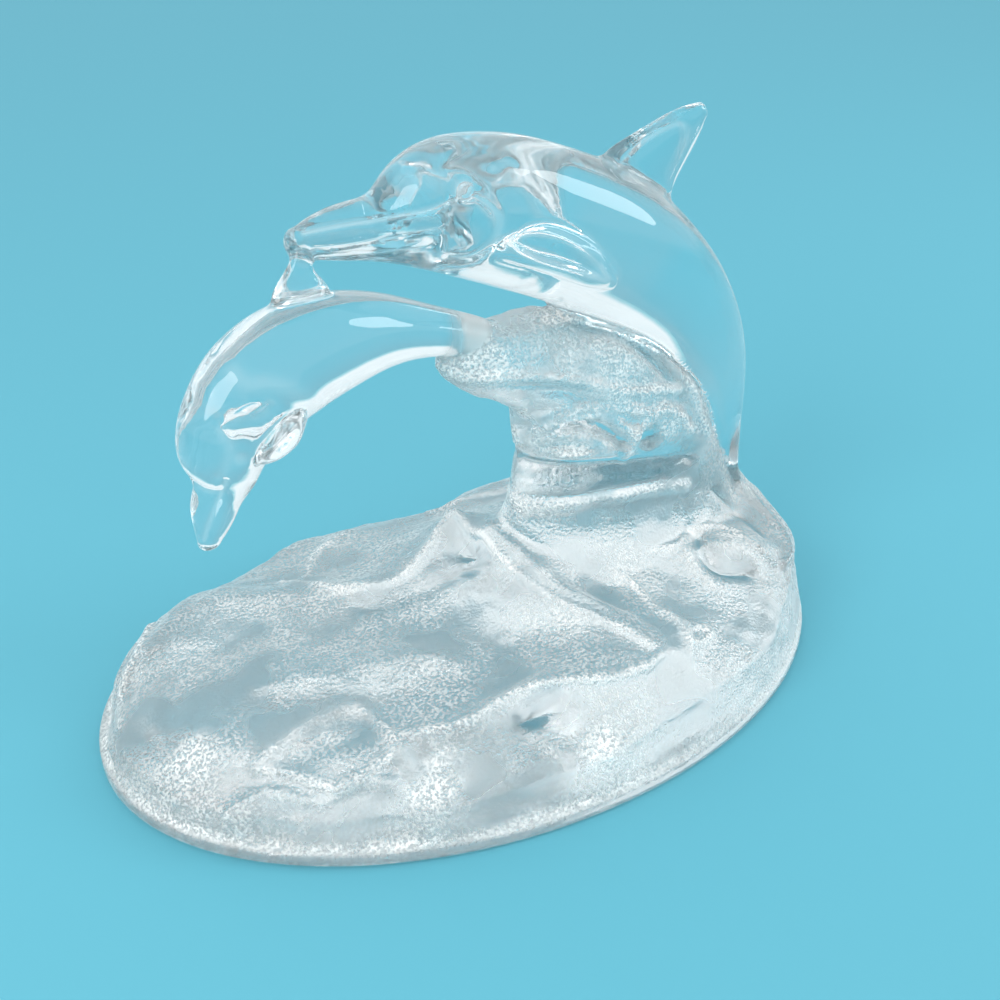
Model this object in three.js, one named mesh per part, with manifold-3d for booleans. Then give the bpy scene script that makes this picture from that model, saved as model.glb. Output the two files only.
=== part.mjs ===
import * as THREE from "three";
import { mergeVertices } from "three/addons/utils/BufferGeometryUtils.js";
import Module from "manifold-3d";

// Millimetres, +Z up, origin in the middle of the flat underside.
// The dolphins swim towards -X, and the side with the fuller waves faces -Y.

// Base: an oval slab of rough water with a plain band along its foot.
const BASE_HALF_LENGTH = 90;
const BASE_HALF_WIDTH = 61;
const BAND_HEIGHT = 2.6;
const BAND_ROUND = 0.8;
const WALL_LEAN = 3.4;
const WALL_TAIL_END = 16;
const WALL_HEAD_END = 5.5;
const WALL_BACK_DROP = 2.5;
const WATER_RISE = 13;
const FRONT_SHOULDER = 0.17;
const BACK_SHOULDER = 0.4;
const BACK_SHOULDER_AT = 80;
const BACK_SHOULDER_SPREAD = 40;
const CREST_ROUND = 1.4;
const RIDGE_MERGE = 4;

// Where the wall swells or sinks around the oval, in degrees from the tail end towards the back.
const WALL_SWELLS = [
  { at: 80, spread: 7.5, rise: -7 },
  { at: 95, spread: 9, rise: -2.2 },
  { at: 107, spread: 8, rise: 2 },
  { at: 121, spread: 8, rise: -1.5 },
  { at: 144, spread: 14, rise: 4 },
  { at: 166, spread: 7, rise: -3.5 },
];

const BASE_SPOKES = 72;
const BASE_RINGS = 16;

// Smoothness of the lofted bodies.
const BODY_SLICES = 29;
const BODY_SIDES = 16;
const FIN_SLICES = 7;
const FIN_SIDES = 8;
const COLUMN_SLICES = 17;
const COLUMN_SIDES = 20;

// A body is named by stations from one end to the other. Each one gives the point of the section on
// the back (back), the point on the belly (belly) and half the width across them (side).
const BIG_DOLPHIN = [
  { back: [-36.4, 0, 115.3], belly: [-36.4, 0, 109.4], side: 3.3 },
  { back: [-31.8, 0, 117.1], belly: [-31.4, 0, 108.2], side: 5.0 },
  { back: [-25.9, 0, 118.3], belly: [-25.3, 0, 107.0], side: 6.2 },
  { back: [-20.3, 0, 119.2], belly: [-18.9, 0, 105.5], side: 7.4 },
  { back: [-16.0, 0, 123.0], belly: [-13.5, 0, 103.6], side: 9.4 },
  { back: [-10.0, 0, 126.8], belly: [-7.0, 0, 101.0], side: 11.6 },
  { back: [-1.1, 0, 128.0], belly: [0.9, 0, 97.6], side: 13.2 },
  { back: [10.8, 0, 126.4], belly: [9.8, 0, 93.6], side: 14.0 },
  { back: [22.7, 0, 122.4], belly: [18.3, 0, 89.5], side: 14.2 },
  { back: [36.6, 0, 116.1], belly: [26.7, 0, 84.5], side: 14.0 },
  { back: [48.5, 0, 107.9], belly: [35.6, 0, 79.5], side: 13.4 },
  { back: [59.4, 0, 96.6], belly: [44.5, 0, 74.0], side: 12.2 },
  { back: [67.0, 0, 85.4], belly: [51.5, 0, 67.6], side: 10.6 },
  { back: [72.3, 0, 73.0], belly: [57.9, 0, 60.6], side: 8.8 },
  { back: [74.7, 0, 60.1], belly: [62.8, 0, 53.2], side: 7.0 },
  { back: [75.3, 0, 47.2], belly: [65.9, 0, 44.2], side: 5.8 },
  { back: [75.7, 0, 35.3], belly: [66.4, 0, 34.3], side: 6.0 },
  { back: [77.3, 0, 21.4], belly: [64.4, 0, 21.4], side: 7.0 },
];
const LITTLE_DOLPHIN = [
  { back: [-65.2, -8.9, 58.7], belly: [-60.4, -8.9, 58.9], side: 2.6 },
  { back: [-65.6, -8.9, 63.1], belly: [-57.6, -8.9, 62.7], side: 3.8 },
  { back: [-65.4, -8.9, 67.7], belly: [-55.2, -8.9, 67.1], side: 5.0 },
  { back: [-64.4, -8.9, 71.6], belly: [-52.2, -8.7, 70.6], side: 6.4 },
  { back: [-66.2, -8.5, 77.0], belly: [-50.2, -8.3, 73.5], side: 8.0 },
  { back: [-65.4, -8.1, 84.3], belly: [-47.3, -7.9, 76.0], side: 9.2 },
  { back: [-61.2, -7.3, 91.9], belly: [-43.4, -7.1, 78.6], side: 9.8 },
  { back: [-55.1, -6.3, 97.8], belly: [-38.8, -6.2, 80.4], side: 10.2 },
  { back: [-46.7, -5.2, 101.8], belly: [-33.8, -5.0, 81.9], side: 10.2 },
  { back: [-37.3, -4.0, 103.0], belly: [-28.4, -3.8, 83.1], side: 9.6 },
  { back: [-27.9, -2.8, 101.8], belly: [-22.4, -2.6, 84.1], side: 8.6 },
  { back: [-18.5, -1.8, 98.8], belly: [-16.5, -1.6, 84.3], side: 7.4 },
  { back: [-9.0, -1.0, 94.4], belly: [-10.5, -0.8, 83.5], side: 6.0 },
  { back: [-0.1, -0.4, 90.3], belly: [-2.1, -0.3, 81.5], side: 5.2 },
  { back: [8.8, 0, 85.9], belly: [6.8, 0, 77.6], side: 5.0 },
];

// Fins, flippers and flukes run from the root, sunk in the body, to the tip. Here "back" is the
// leading edge, "belly" the trailing edge and "side" half the thickness.
const BIG_FIN = [
  { back: [25.7, 0, 112.7], belly: [50.5, 0, 98.8], side: 3.6 },
  { back: [32.6, 0, 119.2], belly: [50.1, 0, 107.1], side: 3.2 },
  { back: [39.6, 0, 122.4], belly: [51.9, 0, 112.1], side: 2.8 },
  { back: [45.9, 0, 124.8], belly: [54.5, 0, 116.3], side: 2.4 },
  { back: [51.7, 0, 126.4], belly: [56.6, 0, 120.0], side: 2.0 },
  { back: [55.9, 0, 126.8], belly: [58.0, 0, 123.4], side: 1.4 },
];
const LITTLE_FIN = [
  { back: [-45.7, -3.8, 96.8], belly: [-28.9, -3.2, 97.8], side: 2.8 },
  { back: [-44.1, -3.6, 102.4], belly: [-31.6, -3.2, 103.4], side: 2.4 },
  { back: [-42.4, -3.2, 105.8], belly: [-33.4, -3.0, 106.1], side: 2.1 },
  { back: [-40.0, -2.8, 108.5], belly: [-34.8, -2.6, 108.5], side: 1.8 },
  { back: [-38.4, -2.2, 110.7], belly: [-35.2, -2.0, 110.7], side: 1.6 },
];
const BIG_FLIPPER = [
  { back: [1.5, -11.9, 110.3], belly: [1.1, -11.9, 106.1], side: 2.0 },
  { back: [8.4, -13.9, 112.3], belly: [6.8, -13.9, 103.8], side: 2.8 },
  { back: [16.0, -14.5, 109.5], belly: [13.2, -14.5, 100.6], side: 2.8 },
  { back: [22.5, -14.3, 105.0], belly: [19.7, -14.3, 97.4], side: 2.4 },
  { back: [26.7, -14.1, 99.2], belly: [25.3, -14.1, 95.6], side: 1.7 },
];
const LITTLE_FLIPPER = [
  { back: [-51.3, -12.9, 85.9], belly: [-43.4, -12.9, 87.9], side: 2.2 },
  { back: [-52.3, -15.3, 82.3], belly: [-43.4, -15.3, 84.1], side: 2.2 },
  { back: [-52.3, -17.3, 79.0], belly: [-43.7, -17.3, 81.0], side: 2.0 },
  { back: [-51.1, -18.5, 76.4], belly: [-45.5, -18.5, 77.6], side: 1.6 },
];
const FLUKE = [
  { back: [76.3, 1.0, 32.3], belly: [64.4, 1.0, 30.4], side: 4.0 },
  { back: [79.9, -5.0, 27.4], belly: [60.4, -7.9, 25.4], side: 3.2 },
  { back: [81.6, -11.9, 23.0], belly: [63.0, -14.9, 21.8], side: 2.6 },
  { back: [81.3, -18.5, 20.0], belly: [69.9, -20.2, 18.8], side: 2.2 },
  { back: [78.7, -23.2, 17.9], belly: [75.3, -23.4, 17.3], side: 1.6 },
];
// Eyes: the near one, and the upright plane that the far one mirrors it about.
const BIG_EYE = { at: [-5.7, -9.7, 120.2], radius: 1.6, plane: 0 };
const LITTLE_EYE = { at: [-57.0, -15.3, 79.6], radius: 1.2, plane: -8.3 };
const LITTLE_PLANE = -8.3;

// Groove of the big dolphin's mouth, along points on its near side.
const MOUTH = {
  line: [
    [-35.7, -1.8, 115.0],
    [-31.3, -3.5, 115.6],
    [-26.0, -4.6, 116.0],
    [-19.2, -6.0, 116.4],
    [-13.2, -9.0, 117.4],
    [-10.0, -10.0, 118.4],
  ],
  radius: 1.0,
};

// Ribs of water on both faces of the column, each along points x and z.
const COLUMN_RIBS = [
  {
    line: [[28.5, 84.6], [37, 80.5], [45, 74], [50, 68.7], [54.2, 62], [57.6, 54.6], [59.6, 49]],
    radius: 2.2,
  },
  { line: [[4.9, 77.7], [13.5, 76.8], [22, 74.8], [28.7, 71.5], [37.8, 67.6], [45.5, 65.6]], radius: 2.6 },
  { line: [[17, 60], [15.8, 65.5], [18.4, 68.3], [23, 68], [30.2, 64.4], [34.5, 59]], radius: 2.2 },
  { line: [[35, 51.5], [36.7, 57.6], [40.2, 61.3], [43.8, 62.7], [48.2, 56.8], [45.1, 52.7]], radius: 2 },
  { line: [[17, 41.6], [21.7, 40.9], [26.1, 43.3], [35.2, 43.4], [51.7, 39.8]], radius: 2.6 },
];

// Column of water under the belly, from its foot up. "back" is its edge towards the heads.
const COLUMN = [
  { back: [-1.1, 0, 21.4], belly: [79.3, 0, 21.4], side: 24.0 },
  { back: [5.9, 0, 29.4], belly: [74.3, 0, 29.4], side: 17.0 },
  { back: [9.8, 0, 37.3], belly: [71.3, 0, 37.3], side: 13.6 },
  { back: [11.2, 0, 45.2], belly: [68.4, 0, 45.2], side: 12.4 },
  { back: [12.2, 0, 53.2], belly: [65.4, 0, 53.2], side: 12.0 },
  { back: [11.8, 0, 60.1], belly: [61.4, 0, 60.1], side: 12.0 },
  { back: [8.4, 0, 66.6], belly: [56.5, 0, 66.6], side: 12.0 },
  { back: [-0.1, 0, 71.5], belly: [51.5, 0, 71.5], side: 11.6 },
  { back: [-5.7, 0, 76.0], belly: [45.5, 0, 76.0], side: 11.0 },
  { back: [-7.6, 0, 80.5], belly: [38.6, 0, 80.5], side: 9.6 },
  { back: [-5.1, 0, 84.9], belly: [30.7, 0, 84.9], side: 7.0 },
];

// Ridges of the water: each runs through points [x, y, rise] and falls away over a width on its
// left and on its right.
const RIDGES = [
  { line: [[3, 13, 13], [7, -4, 11], [12, -20, 8], [20, -34, 7], [24, -46, 6]], left: 12, right: 12 },
  {
    line: [[3, 13, 13], [-8, 11, 9], [-16, 10, 7], [-26, 12, 6], [-36, 18, 5], [-54, 28, 5]],
    left: 12,
    right: 16,
  },
  { line: [[24, -46, 6], [12, -48, 7], [-6, -42, 8], [-26, -43, 6], [-44, -38, 4]], left: 8, right: 12 },
  {
    line: [[-50, 38, 2], [-62, 33, 6], [-72, 23, 7], [-79, 8, 6], [-78, -4, 6], [-66, -24, 5], [-48, -36, 4]],
    left: 12,
    right: 8,
  },
  { line: [[-66, -6, 3], [-44, -16, 6], [-20, -22, 5]], left: 14, right: 9 },
  { line: [[-2, 44, 3], [16, 42, 5.5], [36, 42, 3.5]], left: 8, right: 10 },
  { line: [[48, -22, 4], [62, -27, 8], [78, -26, 6]], left: 9, right: 9 },
];

// Hollows of the water: middle, depth and radius.
const HOLLOWS = [
  { at: [26, -22], depth: 4, radius: 12 },
  { at: [-6, -28], depth: 2, radius: 14 },
  { at: [56, -44], depth: 3, radius: 14 },
  { at: [-34, 34], depth: 3, radius: 18 },
];

const TANGENT_STEP = 0.01;
const CAP_TURNS = [Math.PI / 3, Math.PI / 6];
const COLUMN_CAP = 0.4;
const COLUMN_EDGE = 0.08;
const RIB_SLICES = 6;
const RIB_SIDES = 5;
const RIB_DEPTH = 1.5;
const RIB_SINK = 0.4;
const EYE_SIDES = 8;
const RING_CROWDING = 1.15;
const SWELL_FADE = 3;
const MIDDLE_WALL = 8;
const GLASS = { color: 0xe4eef0, roughness: 0.12, metalness: 0 };

const wasm = await Module();
wasm.setup();

// A closed geometry as a solid that can be joined.
function solid(geometry) {
  const plain = geometry.clone();
  plain.deleteAttribute("normal");
  plain.deleteAttribute("uv");
  const merged = mergeVertices(plain, 1e-4);
  return new wasm.Manifold(
    new wasm.Mesh({
      numProp: 3,
      vertProperties: merged.attributes.position.array,
      triVerts: new Uint32Array(merged.index.array),
    }),
  );
}

// The joined solid as a three.js geometry.
function geometryOf(made) {
  const mesh = made.getMesh();
  const geometry = new THREE.BufferGeometry();
  geometry.setAttribute("position", new THREE.BufferAttribute(mesh.vertProperties, 3));
  geometry.setIndex(new THREE.BufferAttribute(mesh.triVerts, 1));
  geometry.computeVertexNormals();
  return geometry;
}

// Second derivatives of the natural cubic spline through the values, one unit apart.
function bends(values) {
  const last = values.length - 1;
  const slopes = new Array(last + 1).fill(0);
  const parts = new Array(last + 1).fill(0);
  for (let i = 1; i < last; i++) {
    const pivot = 4 + slopes[i - 1];
    slopes[i] = -1 / pivot;
    parts[i] = (6 * (values[i + 1] - 2 * values[i] + values[i - 1]) - parts[i - 1]) / pivot;
  }
  const result = new Array(last + 1).fill(0);
  for (let i = last - 1; i > 0; i--) {
    result[i] = slopes[i] * result[i + 1] + parts[i];
  }
  return result;
}

// The value of a natural cubic spline through the values at station t.
function splineAt(values, bend, t) {
  const i = Math.min(Math.floor(t), values.length - 2);
  const b = t - i;
  const a = 1 - b;
  const curve = ((a ** 3 - a) * bend[i] + (b ** 3 - b) * bend[i + 1]) / 6;
  return a * values[i] + b * values[i + 1] + curve;
}

// The back point, belly point and half width of the stations, blended smoothly at station t.
function makeSampler(stations) {
  const rows = stations.map(({ back, belly, side }) => [...back, ...belly, side]);
  const tracks = rows[0].map((_, column) => {
    const values = rows.map((row) => row[column]);
    return { values, bend: bends(values) };
  });
  return (t) => {
    const row = tracks.map(({ values, bend }) => splineAt(values, bend, t));
    const back = new THREE.Vector3(...row.slice(0, 3));
    const belly = new THREE.Vector3(...row.slice(3, 6));
    return { back, belly, side: row[6], middle: back.clone().add(belly).multiplyScalar(0.5) };
  };
}

// Closed mesh through rings of equal length, with a point at each end.
function skin(rings, start, end) {
  const sides = rings[0].length;
  const points = [start, ...rings.flat(), end];
  const faces = [];
  const at = (ring, side) => 1 + ring * sides + (side % sides);
  for (let side = 0; side < sides; side++) {
    faces.push(0, at(0, side + 1), at(0, side));
    for (let ring = 0; ring + 1 < rings.length; ring++) {
      faces.push(at(ring, side), at(ring, side + 1), at(ring + 1, side + 1));
      faces.push(at(ring, side), at(ring + 1, side + 1), at(ring + 1, side));
    }
    faces.push(points.length - 1, at(rings.length - 1, side), at(rings.length - 1, side + 1));
  }
  const geometry = new THREE.BufferGeometry().setFromPoints(points);
  geometry.setIndex(faces);
  const made = solid(geometry);
  if (made.volume() > 0) {
    return made;
  }
  faces.reverse();
  geometry.setIndex(faces);
  return solid(geometry);
}

// A body through the stations with rounded ends.
function loft(stations, slices, sides, capShare = 0.8) {
  const sample = makeSampler(stations);
  const last = stations.length - 1;
  const aheadAt = (t) => {
    const from = sample(Math.max(t - TANGENT_STEP, 0)).middle;
    const to = sample(Math.min(t + TANGENT_STEP, last)).middle;
    return to.sub(from).normalize();
  };
  const ringAt = (t, shrink, shift) => {
    const { back, middle, side } = sample(t);
    const ahead = aheadAt(t);
    const reach = back.clone().sub(middle);
    const across = reach.clone().cross(ahead).normalize().multiplyScalar(side);
    middle.addScaledVector(ahead, shift);
    const ring = [];
    for (let k = 0; k < sides; k++) {
      const turn = (2 * Math.PI * k) / sides;
      const point = middle.clone();
      point.addScaledVector(reach, shrink * Math.sin(turn));
      point.addScaledVector(across, shrink * Math.cos(turn));
      ring.push(point);
    }
    return ring;
  };
  const capOf = (t, way) => {
    const { back, middle, side } = sample(t);
    const depth = capShare * Math.min(side, back.distanceTo(middle));
    const rings = CAP_TURNS.map((turn) => ringAt(t, Math.cos(turn), way * depth * Math.sin(turn)));
    return { rings, tip: middle.addScaledVector(aheadAt(t), way * depth) };
  };
  const start = capOf(0, -1);
  const end = capOf(last, 1);
  const rings = [...start.rings];
  for (let i = 0; i <= slices; i++) {
    rings.push(ringAt((last * i) / slices, 1, 0));
  }
  rings.push(...end.rings.reverse());
  return skin(rings, start.tip, end.tip);
}

// The same body on the far side of the upright plane at y, the middle of the figurine if none is given.
function mirrored(stations, plane = 0) {
  const flip = ([x, y, z]) => [x, 2 * plane - y, z];
  return stations.map(({ back, belly, side }) => ({ back: flip(back), belly: flip(belly), side }));
}

// How far the surface of the wave column is from the middle plane at x and z.
function columnDepth(x, z) {
  const upper = COLUMN.findIndex(({ back }) => back[2] >= z);
  const [low, high] = [COLUMN[upper - 1], COLUMN[upper]];
  const share = (z - low.back[2]) / (high.back[2] - low.back[2]);
  const from = THREE.MathUtils.lerp(low.back[0], high.back[0], share);
  const to = THREE.MathUtils.lerp(low.belly[0], high.belly[0], share);
  const side = THREE.MathUtils.lerp(low.side, high.side, share);
  const off = (2 * x - from - to) / (to - from);
  return side * Math.sqrt(Math.max(1 - off ** 2, COLUMN_EDGE));
}

// Stations of a rounded rib along a line of [x, z] on the near face of the column.
function ribOnColumn({ line, radius }) {
  return line.map(([x, z], i) => {
    const before = line[Math.max(i - 1, 0)];
    const after = line[Math.min(i + 1, line.length - 1)];
    const length = Math.hypot(after[0] - before[0], after[1] - before[1]);
    const reachX = (radius * (before[1] - after[1])) / length;
    const reachZ = (radius * (after[0] - before[0])) / length;
    const y = RIB_SINK - columnDepth(x, z);
    return { back: [x + reachX, y, z + reachZ], belly: [x - reachX, y, z - reachZ], side: RIB_DEPTH };
  });
}

// Stations of a thin tool along a line of points, for a groove.
function grooveAlong({ line, radius }) {
  const up = ([x, y, z], rise) => [x, y, z + rise];
  return line.map((point) => ({ back: up(point, radius), belly: up(point, -radius), side: radius }));
}

// A flattened bead for an eye.
function eye({ at, radius }) {
  const bead = new THREE.SphereGeometry(radius, EYE_SIDES, EYE_SIDES / 2);
  return solid(bead.translate(...at));
}

// A smooth bump of height 1 around the oval at a number of degrees.
function swell(turn, at, spread) {
  const degrees = THREE.MathUtils.radToDeg(turn);
  const away = THREE.MathUtils.euclideanModulo(degrees - at + 180, 360) - 180;
  return Math.exp(-((away / spread) ** 2));
}

// Height of the wall at a turn around the oval, 0 at the tail end, and at a share of the way out.
function wallHeight(turn, share = 1) {
  const towardsTail = (1 + Math.cos(turn)) / 2;
  const towardsBack = Math.max(0, Math.sin(turn));
  let wall = THREE.MathUtils.lerp(WALL_HEAD_END, WALL_TAIL_END, towardsTail ** 2);
  wall -= WALL_BACK_DROP * towardsBack * (1 - towardsTail);
  for (const { at, spread, rise } of WALL_SWELLS) {
    wall += rise * share ** SWELL_FADE * swell(turn, at, spread);
  }
  return wall;
}

// What a ridge adds at a point: its nearest stretch counts, with a rounded crest.
function ridgeHeight({ line, left, right }, x, y) {
  let best = { away: Infinity };
  for (let i = 0; i + 1 < line.length; i++) {
    const [ax, ay, startRise] = line[i];
    const [bx, by, endRise] = line[i + 1];
    const dx = bx - ax;
    const dy = by - ay;
    const share = ((x - ax) * dx + (y - ay) * dy) / (dx * dx + dy * dy);
    const along = THREE.MathUtils.clamp(share, 0, 1);
    const away = Math.hypot(x - ax - dx * along, y - ay - dy * along);
    if (away < best.away) {
      const turned = dx * (y - ay) - dy * (x - ax);
      const leftness = turned / (Math.hypot(dx, dy) * Math.max(away, CREST_ROUND));
      const width = THREE.MathUtils.lerp(right, left, (1 + THREE.MathUtils.clamp(leftness, -1, 1)) / 2);
      best = { away, width, rise: THREE.MathUtils.lerp(startRise, endRise, along) };
    }
  }
  return best.rise * Math.exp((CREST_ROUND - Math.hypot(best.away, CREST_ROUND)) / best.width);
}

// Height of the water above the oval at a point.
function waterHeight(x, y) {
  const share = Math.hypot(x / BASE_HALF_LENGTH, y / BASE_HALF_WIDTH);
  const turn = Math.atan2(y / BASE_HALF_WIDTH, x / BASE_HALF_LENGTH);
  const inward = THREE.MathUtils.clamp(1 - share, 0, 1);
  const towardsBack = swell(turn, BACK_SHOULDER_AT, BACK_SHOULDER_SPREAD);
  const steepness = THREE.MathUtils.lerp(FRONT_SHOULDER, BACK_SHOULDER, towardsBack);
  const shoulder = 1 - Math.exp(-inward / steepness);
  const settled = 1 - Math.exp(-share / FRONT_SHOULDER);
  const wall = THREE.MathUtils.lerp(MIDDLE_WALL, wallHeight(turn, share), settled);
  let crests = 0;
  for (const ridge of RIDGES) {
    crests += ridgeHeight(ridge, x, y) ** RIDGE_MERGE;
  }
  let carved = crests ** (1 / RIDGE_MERGE);
  for (const { at, depth, radius } of HOLLOWS) {
    carved -= depth * Math.exp(-((Math.hypot(x - at[0], y - at[1]) / radius) ** 2));
  }
  return wall + shoulder * (WATER_RISE + carved);
}

// The oval base with its flat underside, plain band, wall and water.
function makeBase() {
  const ringAt = (inset, heightOf) => {
    const ring = [];
    for (let k = 0; k < BASE_SPOKES; k++) {
      const turn = (2 * Math.PI * k) / BASE_SPOKES;
      const x = (BASE_HALF_LENGTH - inset) * Math.cos(turn);
      const y = (BASE_HALF_WIDTH - inset) * Math.sin(turn);
      ring.push(new THREE.Vector3(x, y, heightOf(turn)));
    }
    return ring;
  };
  const rings = [
    ringAt(BAND_ROUND, () => 0),
    ringAt(0, () => BAND_ROUND),
    ringAt(0, () => BAND_HEIGHT),
    ringAt(BAND_ROUND, () => BAND_HEIGHT + BAND_ROUND),
    ringAt(WALL_LEAN / 2, (turn) => (BAND_HEIGHT + BAND_ROUND + wallHeight(turn)) / 2),
  ];
  const top = ringAt(WALL_LEAN, () => 0);
  for (let i = 0; i < BASE_RINGS; i++) {
    const share = 1 - (i / BASE_RINGS) ** RING_CROWDING;
    const placed = (x, y) => new THREE.Vector3(x, y, waterHeight(x, y));
    rings.push(top.map(({ x, y }) => placed(x * share, y * share)));
  }
  const middle = new THREE.Vector3(0, 0, waterHeight(0, 0));
  return skin(rings, new THREE.Vector3(0, 0, 0), middle);
}

let figurine = makeBase();
figurine = figurine.add(loft(COLUMN, COLUMN_SLICES, COLUMN_SIDES, COLUMN_CAP));
for (const rib of COLUMN_RIBS.map(ribOnColumn)) {
  figurine = figurine.add(loft(rib, RIB_SLICES, RIB_SIDES));
  figurine = figurine.add(loft(mirrored(rib), RIB_SLICES, RIB_SIDES));
}
figurine = figurine.add(loft(BIG_DOLPHIN, BODY_SLICES, BODY_SIDES));
figurine = figurine.add(loft(LITTLE_DOLPHIN, BODY_SLICES, BODY_SIDES));
const mouth = grooveAlong(MOUTH);
figurine = figurine.subtract(loft(mouth, RIB_SLICES, RIB_SIDES));
figurine = figurine.subtract(loft(mirrored(mouth), RIB_SLICES, RIB_SIDES));
const pairs = [BIG_FLIPPER, FLUKE].flatMap((limb) => [limb, mirrored(limb)]);
const littlePair = [LITTLE_FLIPPER, mirrored(LITTLE_FLIPPER, LITTLE_PLANE)];
for (const limb of [BIG_FIN, LITTLE_FIN, ...pairs, ...littlePair]) {
  figurine = figurine.add(loft(limb, FIN_SLICES, FIN_SIDES));
}
for (const { at, radius, plane } of [BIG_EYE, LITTLE_EYE]) {
  const [x, y, z] = at;
  figurine = figurine.add(eye({ at, radius }));
  figurine = figurine.add(eye({ at: [x, 2 * plane - y, z], radius }));
}

const dolphins = new THREE.Mesh(geometryOf(figurine), new THREE.MeshStandardMaterial(GLASS));
dolphins.name = "dolphin_figurine";

const group = new THREE.Group();
group.add(dolphins);

export default group;
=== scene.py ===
"""A clear moulded glass figurine: a large and a small dolphin leaping from a frosted wave on an oval base.

Sizes are in millimetres in the classes and in metres in Blender. The origin is the middle of the flat
underside, +Z is up, the dolphins swim towards -X and the side with the fuller waves faces -Y.
"""

import logging
import math
from dataclasses import dataclass, field
from enum import Enum
from typing import Callable, Sequence

import bpy
import numpy as np
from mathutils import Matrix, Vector
from mathutils.bvhtree import BVHTree


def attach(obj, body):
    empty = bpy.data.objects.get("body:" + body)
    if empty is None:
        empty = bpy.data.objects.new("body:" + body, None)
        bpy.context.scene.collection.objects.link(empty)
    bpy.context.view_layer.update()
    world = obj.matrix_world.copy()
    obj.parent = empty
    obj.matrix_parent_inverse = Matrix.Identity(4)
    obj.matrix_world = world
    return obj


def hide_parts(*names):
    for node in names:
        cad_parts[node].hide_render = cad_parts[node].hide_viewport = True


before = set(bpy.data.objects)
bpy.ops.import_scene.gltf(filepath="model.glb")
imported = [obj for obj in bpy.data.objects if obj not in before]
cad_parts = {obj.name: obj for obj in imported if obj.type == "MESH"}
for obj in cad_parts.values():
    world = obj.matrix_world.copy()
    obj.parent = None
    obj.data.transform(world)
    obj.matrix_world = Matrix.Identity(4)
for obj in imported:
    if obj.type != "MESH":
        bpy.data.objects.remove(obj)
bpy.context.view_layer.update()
LOG = logging.getLogger("figurine")
MM = 0.001

Point = tuple[float, float, float]
Colour = tuple[float, float, float, float]
Span = tuple[float, float]
# A section's back, belly and half width; a line's depth, width, white crusting and painted highlight, clear
# and points; a bowl's first five.
Row = tuple[float, float, float, float, float, float, float]
LineRow = tuple[float | tuple[float, ...], ...]
BowlRow = tuple[Point | float, ...]


class Finish(Enum):
    """How the mould left a part of the glass."""

    POLISHED = "fire-polished"
    FROSTED = "frosted"


class Lay(Enum):
    """Which way a line or a hollow is seen from: all round, from the side or from above."""

    ROUND = (1.0, 1.0, 1.0)
    SIDE = (1.0, 0.0, 1.0)
    ABOVE = (1.0, 1.0, 0.0)


def deselect() -> None:
    """Leaves edit mode and selects nothing."""
    if bpy.context.object and bpy.context.object.mode != "OBJECT":
        bpy.ops.object.mode_set(mode="OBJECT")
    bpy.ops.object.select_all(action="DESELECT")


def make_active(piece: bpy.types.Object) -> None:
    """Selects one object and makes it the active one."""
    deselect()
    piece.select_set(True)
    bpy.context.view_layer.objects.active = piece


def vectors(items: bpy.types.bpy_prop_collection, name: str) -> np.ndarray:
    """One vector of every item of a mesh.

    Args:
        items: the mesh's vertices, faces or normals.
        name: which vector of theirs.

    Returns:
        The vectors, one a row.
    """
    flat = np.empty(len(items) * 3)
    items.foreach_get(name, flat)
    return flat.reshape(-1, 3)


def points_of(mesh: bpy.types.Mesh) -> np.ndarray:
    """Every vertex of a mesh in millimetres, one a row."""
    return vectors(mesh.vertices, "co") / MM


def put_points(mesh: bpy.types.Mesh, points: np.ndarray) -> None:
    """Moves every vertex of a mesh to its row of points, given in millimetres."""
    mesh.vertices.foreach_set("co", (points * MM).ravel())
    mesh.update()


def choose_faces(piece: bpy.types.Object, chosen: np.ndarray) -> None:
    """Enters edit mode with exactly the chosen faces selected.

    Args:
        piece: the object.
        chosen: whether each face is chosen.
    """
    make_active(piece)
    bpy.ops.object.mode_set(mode="EDIT")
    bpy.ops.mesh.select_mode(type="FACE")
    bpy.ops.mesh.select_all(action="DESELECT")
    bpy.ops.object.mode_set(mode="OBJECT")
    piece.data.polygons.foreach_set("select", chosen)
    bpy.ops.object.mode_set(mode="EDIT")


def smoothstep(low: float, high: float, value: np.ndarray) -> np.ndarray:
    """A smooth rise from 0 at low to 1 at high."""
    share = np.clip((value - low) / (high - low), 0.0, 1.0)
    return share * share * (3.0 - 2.0 * share)


def wrapped_sphere(
    name: str, rows: int, around: int, place: Callable[[np.ndarray, np.ndarray], np.ndarray]
) -> bpy.types.Object:
    """Adds a UV sphere and moves each of its vertices to its place on another closed shape.

    Args:
        name: the object's name.
        rows: how many bands run from pole to pole.
        around: how many segments run round.
        place: gives the points, in millimetres, for arrays of row numbers and turns.

    Returns:
        The closed object, with its faces pointing outwards.
    """
    deselect()
    bpy.ops.mesh.primitive_uv_sphere_add(segments=around, ring_count=rows, radius=1.0)
    piece = bpy.context.object
    piece.name = name
    ball = points_of(piece.data) * MM
    row = np.rint(np.arccos(np.clip(ball[:, 2], -1.0, 1.0)) / math.pi * rows)
    turn = np.arctan2(ball[:, 1], ball[:, 0])
    put_points(piece.data, place(row, turn))
    return piece


def mirrored(rows: Sequence[Row], plane: float = 0.0) -> list[Row]:
    """The same sections on the far side of an upright plane along X."""
    return [(r[0], 2 * plane - r[1], r[2], r[3], 2 * plane - r[4], r[5], r[6]) for r in rows]


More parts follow.
